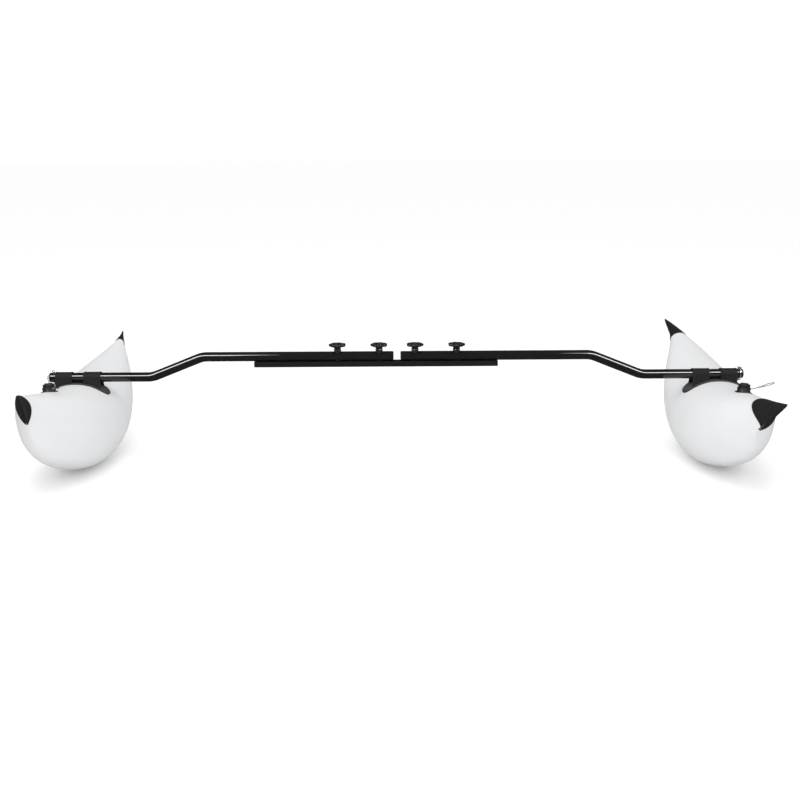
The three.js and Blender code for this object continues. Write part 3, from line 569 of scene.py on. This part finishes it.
def make_spacer(side, which):
    """A moulded ring whose foot follows the round tube."""
    angles = np.linspace(0, 2 * math.pi, 64, endpoint=False)
    outline = [(10.3, 0.0), (10.5, 0.25), (10.5, SPACER_H - 0.5), (10.35, SPACER_H - 0.15), (10.0, SPACER_H)]
    outline += [(STUD_BORE, SPACER_H), (STUD_BORE, 0.0)]
    rings = []
    for radius, height in outline:
        y = radius * np.sin(angles)
        foot = np.sqrt((TUBE_R + GAP / 2) ** 2 - y**2) - TUBE_R
        z = foot + height if height < 1 else np.full(len(angles), height)
        rings.append(np.stack([radius * np.cos(angles), y, z], -1))
    place = half_turn(side) @ shift(KNOB_PLACES[which], 0, TUBE_TOP)
    points, faces = loft(moved(np.array(rings), place), closed=True)
    spacer = add_object(f"saddle_spacer_{side}_{which}_fine", points, faces, "plastic", f"arm_{side}")
    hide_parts(f"saddle_spacer_{side}_{which}")


def pin_place(side):
    return shift(SIDES[side] * PIN_X, 0, LOW_Z) @ Matrix.Rotation(CLIP_TURN[side], 4, "Z")


def make_pin(side):
    foot = -21
    corners = [
        (0, foot),
        (PIN_R * 0.6, foot, 0.5),
        (PIN_R, foot + 1.2, 0.5),
        (PIN_R, PIN_LOW, 0),
        (PIN_HEAD - 0.3, PIN_LOW, 0.2),
        (PIN_HEAD, PIN_LOW + 0.5, 0.3),
        (PIN_HEAD, PIN_HIGH - 1.8, 0.8),
        (PIN_HEAD * 0.72, PIN_HIGH, 1.2),
        (0, PIN_HIGH),
    ]
    place = pin_place(side)
    points, faces = loft(moved(turned(rounded(corners, 0.5), 48), place))
    pin = add_object(f"lock_pin_{side}_fine", points, faces, "steel", f"pin_{side}")
    ends = moved([(-9, 0, CROSS_Z), (9, 0, CROSS_Z)], place)
    carve(pin, [rod_cutter(1.7, ends[0], ends[1], 24)])
    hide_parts(f"lock_pin_{side}")


def make_clip(side):
    """The wire clip, from the pin's cross hole round the tube to the pin's foot below it."""
    wire, side_x, reach, tail = 1.1, PIN_HEAD + 2.2, 21, -18
    points = [
        (-PIN_HEAD * 0.7, 0, CROSS_Z),
        (PIN_HEAD * 0.5, 0, CROSS_Z),
        (PIN_HEAD + wire / 2, 0, CROSS_Z),
        (side_x, -2 * wire, CROSS_Z),
        (side_x / 2, -7 * wire, CROSS_Z - wire),
    ]
    for i in range(8):
        angle = math.radians(62 - 112 * i / 7)
        points.append((0, -reach * math.cos(angle), reach * math.sin(angle)))
    points += [(2.3, -6.9, tail), (4.6, 0, tail), (4.6, wire, tail)]
    rings = along_path(smooth_path(points, 8), wire * 0.98, 14)
    verts, faces = loft(moved(rings, pin_place(side)))
    clip = add_object(f"pin_clip_{side}_fine", verts, faces, "steel", f"clip_{side}")
    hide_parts(f"pin_clip_{side}")


# Rail


def extrude_x(outline, start, end, edge=0.25):
    """Rings of a closed Y-Z outline pushed along X, drawn in a little at both ends."""
    outline = np.asarray(outline, float)
    middle = outline.mean(axis=0)
    size = np.abs(outline - middle).max()
    rings = []
    for x, share in ((start, 1 - edge / size), (start + edge, 1), (end - edge, 1), (end, 1 - edge / size)):
        yz = middle + (outline - middle) * share
        rings.append(np.column_stack([np.full(len(yz), x), yz]))
    return np.array(rings)


def make_rail():
    half, slot, inside = RAIL_W / 2, RAIL_SLOT / 2, RAIL_W / 2 - RAIL_WALL
    lip = RAIL_H - RAIL_LIP
    corners = [
        (-slot, RAIL_H, 0.5),
        (-half, RAIL_H, 1.3),
        (-half, 0, 1.3),
        (half, 0, 1.3),
        (half, RAIL_H, 1.3),
        (slot, RAIL_H, 0.5),
        (slot, lip, 0.4),
        (inside, lip, 0.4),
        (inside, RAIL_FLOOR, 0.8),
        (-inside, RAIL_FLOOR, 0.8),
        (-inside, lip, 0.4),
        (-slot, lip, 0.4),
    ]
    place = shift(RAIL_X, 0, RAIL_LOW)
    rings = extrude_x(rounded(corners, 0.4, closed=True), -RAIL_HALF, RAIL_HALF, 0.1)
    points, faces = loft(moved(rings, place))
    rail = add_object("rail_fine", points, faces, "rail", "rail")
    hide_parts("rail")
    for side in SIDES:
        face_corners = [(-half, 0, 1.3), (half, 0, 1.3), (half, RAIL_H, 1.3), (-half, RAIL_H, 1.3)]
        start = RAIL_HALF + GAP
        rings = extrude_x(rounded(face_corners, 1.3, closed=True), start, start + 2, 0.7)
        plate = loft(rings)
        spigot_y, spigot_z = inside - GAP, lip - GAP
        spigot_corners = [
            (-spigot_y, RAIL_FLOOR + GAP),
            (spigot_y, RAIL_FLOOR + GAP),
            (spigot_y, spigot_z),
            (-spigot_y, spigot_z),
        ]
        spigot = loft(extrude_x(rounded(spigot_corners, 0.8, closed=True), start - 10, start + 0.5, 0.5))
        points, faces = joined(plate, spigot)
        points = moved(points, place @ half_turn(side))
        cap = add_object(f"rail_end_cap_{side}_fine", points, faces, "plastic", "rail")
        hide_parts(f"rail_end_cap_{side}")


# Floats, in a frame whose origin is on the tube's axis above the float's middle


def soften(value, square):
    return np.sign(value) * np.abs(value) ** (2 / square)


def section(along, lie):
    """The skin's top point, bottom point and half width at a share of its length."""
    t = np.abs(along)
    near = np.asarray(along) < 0
    sign = np.where(near, -1.0, 1.0)
    rise = (np.hypot(t, CROWN_SMOOTH) - CROWN_SMOOTH) / (math.hypot(1, CROWN_SMOOTH) - CROWN_SMOOTH)

    def line(y, z, end):
        lean = np.where(near, lie["near"][end], lie["far"][end]) * t**LEAN_POWER
        return np.stack([lie["aside"] + lie["slant"] * y + lean, y, z - LOW_Z], -1)

    top = line(sign * FLOAT_L * t, CROWN_Z + (APEX_Z - CROWN_Z) * rise, 0)
    bottom = line(sign * STEM_Y * t, (STEM_Z + SAG) * t**KEEL_POWER - SAG, 1)
    width = SEAM + (FLOAT_W - SEAM) * np.clip(1 - t**TAPER_POWER, 0, None) ** TAPER_ROUND
    return top, bottom, width


def bare_skin(along, around, lie):
    along, around = np.broadcast_arrays(np.asarray(along, float), np.asarray(around, float))
    top, bottom, width = section(along, lie)
    cosine = np.cos(around)
    up = soften(cosine, np.where(cosine > 0, SQUARE_TOP, SQUARE))
    points = bottom + (top - bottom) * ((1 + up) / 2)[..., None]
    points[..., 0] += width * soften(np.sin(around), SQUARE)
    return points


def skin_normal(along, around, lie, step=0.01):
    along, around = np.broadcast_arrays(np.asarray(along, float), np.asarray(around, float))
    farther = bare_skin(np.minimum(along + step, 1), around, lie)
    nearer = bare_skin(np.maximum(along - step, -1), around, lie)
    sideways = bare_skin(along, around + step, lie) - bare_skin(along, around - step, lie)
    normal = np.cross(sideways, farther - nearer)
    return normal / np.maximum(np.linalg.norm(normal, axis=-1, keepdims=True), 1e-9)


def over_skin(along, around, lie, offset):
    return bare_skin(along, around, lie) + skin_normal(along, around, lie) * offset


def skin_at(x, y, lie):
    """Skin parameters over a place in plan, with x measured from the crown line: along and around."""
    along = np.asarray(y, float) / FLOAT_L
    share = np.clip(np.abs(x) / section(along, lie)[2], 0, 1)
    return along, np.arcsin(share ** (SQUARE / 2)) * np.sign(x)


def over_plan(x, y, lie, offset):
    """Points at a distance over the skin, above places in plan in the float's own frame."""
    crown_x = lie["aside"] + lie["slant"] * np.asarray(y, float)
    return over_skin(*skin_at(x - crown_x, y, lie), lie, offset)


def float_place(side):
    tilt = Matrix.Rotation(math.radians(LIE[side]["tilt"]), 4, "X")
    return shift(SIDES[side] * FLOAT_X, 0, LOW_Z) @ tilt


def creases(points):
    """Height of the soft folds in the skin, low at both ends."""
    y, z = points[..., 1], points[..., 2] + LOW_Z
    height = np.zeros(y.shape)
    for middle_y, middle_z, turn, length, width, rise in (
        (-345, 112, 0.3, 70, 8, 2.2),
        (-318, 88, 0.25, 80, 8, -2.0),
        (-352, 150, 0.75, 55, 8, -1.2),
        (338, 122, -0.55, 60, 10, 1.2),
        (352, 156, -0.7, 50, 9, -1.0),
    ):
        dy, dz = y - middle_y, z - middle_z
        lengthwise = dy * math.cos(turn) - dz * math.sin(turn)
        across = dy * math.sin(turn) + dz * math.cos(turn)
        height += rise * np.exp(-((lengthwise / length) ** 2) - (across / width) ** 2)
    return height


def make_float(side):
    """The inflated hull, with rows crowded towards its ends and its belly pressed flat on the ground."""
    lie = LIE[side]
    even = np.linspace(-1, 1, 121)
    crowding = 0.35
    along = (1 - crowding) * even + crowding * np.sin(even * math.pi / 2)
    around = np.linspace(0, 2 * math.pi, HULL_SIDES, endpoint=False)
    grid_along, grid_around = np.meshgrid(along, around, indexing="ij")
    skin = bare_skin(grid_along, grid_around, lie)
    skin += skin_normal(grid_along, grid_around, lie) * creases(skin)[..., None]
    skin = moved(skin, float_place(side))
    pressed_below, softness = 12, 0.7
    z = skin[..., 2]
    skin[..., 2] = np.where(z < pressed_below, (z + np.sqrt(z**2 + softness**2)) / 2, z)
    points, faces = loft(skin)
    hull = add_object(f"float_{side}_fine", points, faces, "white", f"float_body_{side}", sharp=60)
    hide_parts(f"float_{side}")


def back_edge(height, edge):
    """Distance from the middle to an end patch's back edge, at heights in the float's own frame."""
    t = np.linspace(0, 1, 60)[:, None]
    foot, bend, crown = np.array(edge, float)
    line = bow(t, foot, bend, crown)
    return np.interp(height, line[:, 1] - LOW_Z, line[:, 0])


def make_tip(side, which):
    """An end patch: a sock of coated cloth drawn over the raised end, closed in a welded tab on the seam.

    Where the back edge would pass the end of the hull, the rows stay hidden inside it.
    """
    end = -1 if which == "near" else 1
    lie = LIE[side]
    edge = PATCH_EDGES[side][which]
    around = np.linspace(0, 2 * math.pi, HULL_SIDES, endpoint=False)
    low, high = 0.55, 1.0
    for _ in range(40):
        middle = (low + high) / 2
        at = bare_skin(end * middle, around, lie)
        inside = np.abs(at[:, 1]) < back_edge(at[:, 2], edge)
        low = np.where(inside, middle, low)
        high = np.where(inside, high, middle)
    last_start, last_covered, hidden_back = 0.995, 0.997, 0.03
    start = np.minimum(high, last_start)
    covered = high < last_covered
    steps = [(0.15, 0), (0.9, 0), (1.6, 0.012), (1.95, 0.04), (2.05, 0.09)]
    steps += [(2.1, share) for share in np.linspace(0.15, 1, 16)]
    rings = []
    for offset, share in steps:
        along = end * (start + (1 - start) * share - np.where(covered, 0, hidden_back))
        outside = over_skin(along, around, lie, offset)
        top, bottom, _ = section(along, lie)
        inside = (outside + top + bottom) / 3
        rings.append(np.where(covered[:, None], outside, inside))
    rake = math.atan2(APEX_Z - STEM_Z, FLOAT_L - STEM_Y)
    outward = np.array([0, end * math.sin(rake), -math.cos(rake)])
    top, bottom, _ = section(np.array(float(end)), lie)
    share = (rings[-1][:, 2] - bottom[2]) / (top[2] - bottom[2])
    middle = bottom + (top - bottom) * share[:, None]
    sock_end = rings[-1]
    for carry, width in ((0.8, 0.8), (2.0, 0.5), (2.8, 0.42), (3.0, 0.2)):
        flat = sock_end.copy()
        flat[:, 0] = middle[:, 0] + (flat[:, 0] - middle[:, 0]) * width
        rings.append(flat + outward * (carry * covered)[:, None])
    points, faces = loft(moved(np.array(rings), float_place(side)))
    faces = faces[:-2] + faces[-1:]
    edge_rows = 3
    chosen = [i < edge_rows * HULL_SIDES for i in range(len(faces))]
    tip = add_object(
        f"tip_{which}_{side}_fine", points, faces, "patch", f"float_body_{side}", 50, ("edge", chosen)
    )
    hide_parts(f"tip_{which}_{side}")


def make_pad(side):
    """The saddle's base pad: a crowned strip with round ends, a darker outer rim and a sewn line."""
    straight, turn_steps, run_steps, fullness = PAD_HALF - PAD_R, 25, 39, 2.5
    turn = np.linspace(-math.pi / 2, math.pi / 2, turn_steps)
    run = np.linspace(straight, -straight, run_steps + 2)[1:-1]
    right, left = np.full(turn_steps, straight), np.full(turn_steps, -straight)
    centres = np.concatenate([right, run, left, run[::-1]])
    out, across = soften(np.cos(turn), fullness), soften(np.sin(turn), fullness)
    zeros, ones = np.zeros(run_steps), np.ones(run_steps)
    dx = np.concatenate([out, zeros, -out, zeros])
    dy = np.concatenate([across, ones, -across, -ones])
    shares = [(share, PAD_TOP) for share in (0.0, 0.3, 0.6, 0.8)]
    shares += [(0.86, 2.25), (0.885, 1.95), (0.91, 2.2), (0.93, PAD_TOP)]
    shares += [(0.97, 2.25), (0.99, 1.9), (1.0, 1.3), (1.0, 0.1)]
    rings = []
    for share, offset in shares:
        x, y = centres + share * PAD_R * dx, share * PAD_R * dy
        rings.append(over_plan(x, y, LIE[side], offset))
    points, faces = loft(moved(np.array(rings), float_place(side)))
    faces = faces[:-2]
    # From this row outwards the pad takes the darker edge look: a darker outer rim.
    dark_rim_row = 6
    chosen = [i >= dark_rim_row * len(centres) for i in range(len(faces))]
    pad = add_object(
        f"base_pad_{side}_fine", points, faces, "pad", f"float_body_{side}", 60, ("edge", chosen)
    )
    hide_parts(f"base_pad_{side}")


def sleeve_leg(x, lie, count):
    """One side of the sleeve from the pad up to the wrap, as (y, z) rows, ended on the pad at that x."""
    reach, dip = SLEEVE_REACH, SLEEVE_DIP
    foot = np.array([reach + 11, -50.0])
    bend = np.array([reach + 1, -21.0])
    top = np.array([reach * math.cos(dip), -reach * math.sin(dip)])
    tries = np.linspace(0, 1, 200)
    leg = bow(tries[:, None], foot, bend, top)
    ground = over_plan(x, leg[:, 0], lie, PAD_TOP)[:, 2]
    below = np.nonzero(leg[:, 1] < ground)[0]
    first = below.max() / (len(tries) - 1) if len(below) else 0.0
    return bow(np.linspace(first, 1, count)[:, None], foot, bend, top)


def sleeve_line(x, lie, lift):
    """The sleeve's line at one x, from one foot over the tube to the other, lifted off the tube."""
    leg = sleeve_leg(x, lie, 14)
    wrap = np.linspace(-SLEEVE_DIP, math.pi + SLEEVE_DIP, 40)[1:-1]
    arc = SLEEVE_REACH * np.column_stack([np.cos(wrap), np.sin(wrap)])
    line = np.vstack([leg, arc, leg[::-1] * (-1, 1)])
    tangent = np.gradient(line, axis=0)
    normal = np.column_stack([tangent[:, 1], -tangent[:, 0]])
    normal /= np.linalg.norm(normal, axis=1)[:, None]
    return line + normal * lift


def make_sleeve(side, which):
    """A band of webbing wrapped over the tube, hemmed at both edges, with its feet on the pad."""
    span = sorted(SIDES[side] * x for x in SLEEVES[which])
    width = span[1] - span[0]
    rows = [(0, 1.0, 1.2), (0.1, 0.3, 1.9), (0.5, 0.0, 2.2), (4.2, 0.0, 2.2)]
    rows += [(4.8, 0.0, 1.75), (5.2, 0.0, 1.7), (width / 2, 0.0, 1.75)]
    rows += [(width - x, low, high) for x, low, high in rows[-2::-1]]
    rings = []
    for x, low, high in rows:
        at = span[0] + x
        upper = sleeve_line(at, LIE[side], high)
        lower = sleeve_line(at, LIE[side], low)[::-1]
        loop = np.vstack([upper, lower])
        rings.append(np.column_stack([np.full(len(loop), at), loop]))
    points, faces = loft(moved(np.array(rings), float_place(side)))
    name = f"sleeve_{which}_{side}"
    sleeve = add_object(f"{name}_fine", points, faces, "webbing", f"float_body_{side}", 50)
    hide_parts(name)
    make_stitches(side, name, span)


def make_stitches(side, name, span):
    """A line of thread along each hem, as short raised stitches."""
    stitches = []
    for x in (span[0] + 2.2, span[1] - 2.2):
        line = sleeve_line(x, LIE[side], 2.25)
        lengths = np.concatenate([[0], np.cumsum(np.linalg.norm(np.diff(line, axis=0), axis=1))])
        for start in np.arange(1.5, lengths[-1] - 4, 4.2):
            run = start + np.array([0, 1.4, 2.8])
            y, z = (np.interp(run, lengths, line[:, i]) for i in range(2))
            path = np.column_stack([np.full(len(run), x), y, z])
            stitches.append(loft(along_path(path, 0.28, 6)))
    points, faces = joined(*stitches)
    points = moved(points, float_place(side))
    add_object(f"{name}_stitches", points, faces, "thread", f"float_body_{side}")


# Valves and their wire pulls


def valve_place(side):
    """The valve's foot, on the axis that its cap turns about. The joint's own point is the cap's foot."""
    joint = next(j for j in frame["joints"] if j["name"] == f"valve_turn_{side}")
    axis = Vector(joint["axis"]).normalized()
    foot = Vector(joint["pos_m"]) / MM - CAP_ABOVE_FOOT * axis
    return Matrix.Translation(foot) @ Vector((0, 0, 1)).rotation_difference(axis).to_matrix().to_4x4()


def make_valve(side):
    """The flange that follows the skin, the body with its collar and the eye for the pull, and the cap."""
    body = f"float_body_{side}"
    seat = float_place(side).inverted() @ valve_place(side).translation
    valve_sides = 72
    angles = np.linspace(0, 2 * math.pi, valve_sides, endpoint=False)
    rings = []
    flange = [(15, 0.1), (23, 0.1), (23.1, 1.0), (22.8, 1.6), (22.2, 1.95)]
    flange += [(21.4, 2.1), (19.6, 2.1), (15, 2.1)]
    for radius, offset in flange:
        x, y = seat.x + radius * np.cos(angles), seat.y + radius * np.sin(angles)
        rings.append(over_plan(x, y, LIE[side], offset))
    points, faces = loft(moved(np.array(rings), float_place(side)), closed=True)
    ring = add_object(f"valve_flange_{side}_fine", points, faces, "plastic", body)
    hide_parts(f"valve_flange_{side}")

    corners = [(11.5, -16), (14, -16), (14, -10, 0.2), (19.6, -10, 0.2), (17.0, 1.9, 1.0), (16.6, 2.4, 0.3)]
    corners += [(18.3, 2.4, 0.3), (18.5, 3.0, 0.4), (18.5, 4.4, 0.3), (18.0, 4.9, 0.3), (18.0, 5.5, 0.3)]
    corners += [(18.5, 6.0, 0.3), (18.5, 7.0, 0.5), (17.9, 7.4, 0.4), (11.5, 7.4)]
    place = valve_place(side)
    outline = rounded(corners, 0.4, closed=True)
    barrel = loft(moved(turned(outline, valve_sides), place), closed=True)
    eye_turn = Matrix.Rotation(PULL_TURN[side], 4, "Z")
    eye_corners = [(16.4, -1.75), (19.6, -1.75), (20.2, -0.9), (20.2, 3.4), (19.6, 4.25), (16.4, 4.25)]
    eye = rounded(eye_corners, 0.5, closed=True)
    middle = eye.mean(axis=0)
    eye_rings = []
    for z, share in ((2.6, 0.9), (2.9, 1.0), (6.1, 1.0), (6.4, 0.9)):
        xy = middle + (eye - middle) * share
        eye_rings.append(np.column_stack([xy, np.full(len(xy), z)]))
    points, faces = joined(barrel, loft(moved(np.array(eye_rings), place @ eye_turn)))
    barrel = add_object(f"valve_body_{side}_fine", points, faces, "plastic", body)
    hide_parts(f"valve_body_{side}")

    skirt = [(0, 0), (15.4, 0, 1), (16.2, 0.3, 1), (16.5, 0.9, 1), (16.5, 7.8, 1), (16.3, 8.5, 1)]
    shoulder = [(15.6, 8.95, 1), (13.5, 9.0, 0.75), (11.6, 9.0), (11.1, 9.15)]
    boss = [(11.0, 11.2), (10.7, 11.75), (10.0, 12.0), (7.4, 12.0), (7.0, 11.7), (6.2, 11.6), (0, 11.6)]
    rings = turned(skirt + shoulder + boss, 96, dent_of(8, 2.2))
    points, faces = loft(moved(rings, place @ shift(0, 0, CAP_ABOVE_FOOT)))
    cap = add_object(f"valve_cap_{side}_fine", points, faces, "plastic", f"valve_{side}")
    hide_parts(f"valve_cap_{side}")


def make_pull(side):
    body = f"float_body_{side}"
    place = valve_place(side) @ Matrix.Rotation(PULL_TURN[side], 4, "Z")
    route = PULL_POINTS[side]
    path = moved(smooth_path(route, 10), place) * MM
    curve = bpy.data.curves.new(f"valve_pull_{side}_fine", "CURVE")
    curve.dimensions = "3D"
    spline = curve.splines.new("POLY")
    spline.points.add(len(path) - 1)
    for point, at in zip(spline.points, path):
        point.co = (*at, 1)
    curve.bevel_depth = PULL_R * MM
    curve.bevel_resolution = 4
    curve.use_fill_caps = True
    curve.materials.append(MATERIALS["coat"])
    wire = link_object(f"valve_pull_{side}_fine", curve)
    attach(wire, body)
    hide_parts(f"valve_pull_{side}")
    crimp = make_ferrule(side, place, route)


def make_ferrule(side, place, route):
    """An oval crimp pressed round the two runs of wire, pinched at its middle."""
    before, after = route[3], route[4]
    lean = math.atan2(after[2] - before[2], after[0] - before[0])
    angles = np.linspace(0, 2 * math.pi, 40, endpoint=False)
    outline = [(0.0, 1.6), (0.0, 2.1), (0.35, 2.3), (2.2, 2.3), (3.0, 2.05), (5.0, 2.05), (5.8, 2.3)]
    outline += [(7.65, 2.3), (8.0, 2.1), (8.0, 1.6), (8.0, 1.15), (0.0, 1.15)]
    rings = []
    for x, radius in outline:
        y = radius * np.cos(angles) + PULL_HALF_GAP * np.sign(np.cos(angles))
        rings.append(np.column_stack([np.full(len(angles), x), y, radius * np.sin(angles)]))
    local = place @ shift(before[0], 0, before[2]) @ Matrix.Rotation(-lean, 4, "Y")
    points, faces = loft(moved(np.array(rings), local), closed=True)
    crimp = add_object(f"pull_ferrule_{side}_fine", points, faces, "zinc", f"float_body_{side}")
    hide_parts(f"pull_ferrule_{side}")
    return crimp


# Put together

make_rail()
for side in SIDES:
    make_tube(side)
    make_plug(f"inner_plug_{side}", side, 16, (13.4, 1.6), (INNER_END, HIGH_Z), outward=False)
    make_plug(f"end_cap_{side}", side, 3.8, (TUBE_R, 4.0), (OUTER_END, LOW_Z), outward=True)
    for which in KNOB_PLACES:
        make_knob(side, which)
        make_washer(side, which)
        make_spacer(side, which)
        nut = frame["nodes"][f"slot_nut_{side}_{which}"]
        nut.data.materials.clear()
        nut.data.materials.append(MATERIALS["zinc"])
    make_pin(side)
    make_clip(side)
    make_float(side)
    for end in ("near", "far"):
        make_tip(side, end)
    make_pad(side)
    for which in SLEEVES:
        make_sleeve(side, which)
    make_valve(side)
    make_pull(side)


# Floor, light and camera

SKY_LOW, SKY_HIGH, SKY_GLOSS, SKY_SEEN = 0.72, 1.05, 0.08, 1.1
FLOOR_WHITE, FLOOR_GLOW = 0.94, 0.1
CAMERA_PLACE, CAMERA_LENS, SENSOR_WIDTH = (-0.015, -2.903, 0.934), 45.0, 36.0
CAMERA_PITCH_YAW_ROLL = (0.2504, -0.008, -0.0042)


def make_floor():
    """White paper that glows a little, so that its far part is as white as the sky."""
    mesh = bpy.data.meshes.new("floor")
    mesh.from_pydata([(-30, -20, 0), (30, -20, 0), (30, 60, 0), (-30, 60, 0)], [], [(0, 1, 2, 3)])
    floor = link_object("floor", mesh)
    paper = bpy.data.materials.new("white_floor")
    paper.use_nodes = True
    shader = paper.node_tree.nodes["Principled BSDF"]
    shader.inputs["Base Color"].default_value = (FLOOR_WHITE, FLOOR_WHITE, FLOOR_WHITE, 1)
    shader.inputs["Roughness"].default_value = 0.9
    shader.inputs["Specular IOR Level"].default_value = 0.0
    shader.inputs["Emission Color"].default_value = (1, 1, 1, 1)
    shader.inputs["Emission Strength"].default_value = FLOOR_GLOW
    mesh.materials.append(paper)
    floor.visible_glossy = False


def add_softbox(name, place, target, size, power, diffuse=True, gloss=True):
    """A rectangular lamp in metres and watts, which may be left out of the diffuse or the glossy light."""
    light = bpy.data.lights.new(name, "AREA")
    light.shape = "RECTANGLE"
    light.size, light.size_y = size
    light.energy = power
    lamp = link_object(name, light)
    lamp.location = place
    aim = Vector(target) - Vector(place)
    lamp.rotation_euler = aim.to_track_quat("-Z", "Y").to_euler()
    lamp.visible_diffuse = diffuse
    lamp.visible_glossy = gloss


def make_world():
    """White to the camera, brighter from above on the object, and dark where the black pieces mirror it."""
    world = bpy.data.worlds.new("studio")
    bpy.context.scene.world = world
    world.use_nodes = True
    nodes, links = world.node_tree.nodes, world.node_tree.links
    background = nodes["Background"]
    background.inputs["Color"].default_value = (1, 1, 1, 1)
    split = nodes.new("ShaderNodeSeparateXYZ")
    links.new(nodes.new("ShaderNodeTexCoord").outputs["Generated"], split.inputs["Vector"])
    rays = nodes.new("ShaderNodeLightPath")

    def mapped(source, low, high):
        node = nodes.new("ShaderNodeMapRange")
        node.inputs["To Min"].default_value = low
        node.inputs["To Max"].default_value = high
        links.new(source, node.inputs["Value"])
        return node

    sky = mapped(split.outputs["Z"], SKY_LOW, SKY_HIGH)
    gloss = mapped(rays.outputs["Is Glossy Ray"], 0, SKY_GLOSS)
    links.new(sky.outputs["Result"], gloss.inputs["To Min"])
    seen = mapped(rays.outputs["Is Camera Ray"], 0, SKY_SEEN)
    links.new(gloss.outputs["Result"], seen.inputs["To Min"])
    links.new(seen.outputs["Result"], background.inputs["Strength"])


def make_camera():
    """The photo's camera, fitted to the outlines of the floats, the tubes and the rail."""
    pitch, yaw, roll = CAMERA_PITCH_YAW_ROLL
    forward = Vector((-math.sin(yaw) * math.cos(pitch), math.cos(yaw) * math.cos(pitch), -math.sin(pitch)))
    right = Vector((math.cos(yaw), math.sin(yaw), 0))
    up = right.cross(forward)
    turned_right = math.cos(roll) * right + math.sin(roll) * up
    turned_up = math.cos(roll) * up - math.sin(roll) * right
    camera = link_object("camera", bpy.data.cameras.new("camera"))
    camera.data.lens = CAMERA_LENS
    camera.data.sensor_width = SENSOR_WIDTH
    matrix = Matrix.Identity(4)
    matrix.col[0][:3] = turned_right
    matrix.col[1][:3] = turned_up
    matrix.col[2][:3] = -forward
    matrix.col[3][:3] = CAMERA_PLACE
    camera.matrix_world = matrix
    bpy.context.scene.camera = camera


make_floor()
make_world()
add_softbox("softbox_key", (-0.4, -1.6, 3.6), (0, 0, 0.2), (2.6, 1.4), 42, gloss=False)
add_softbox("highlight_right", (2.6, -2.5, 3.2), (0.8, 0, 0.3), (2.8, 1.2), 230, diffuse=False)
add_softbox("highlight_left", (-2.4, -2.5, 3.2), (-0.8, 0, 0.3), (3.2, 1.2), 265, diffuse=False)
add_softbox("softbox_fill", (-0.3, -1.6, 1.1), (0.9, 0, 0.15), (1.0, 1.0), 5, gloss=False)
make_camera()
bpy.context.scene.view_settings.view_transform = "Standard"

bpy.context.view_layer.update()
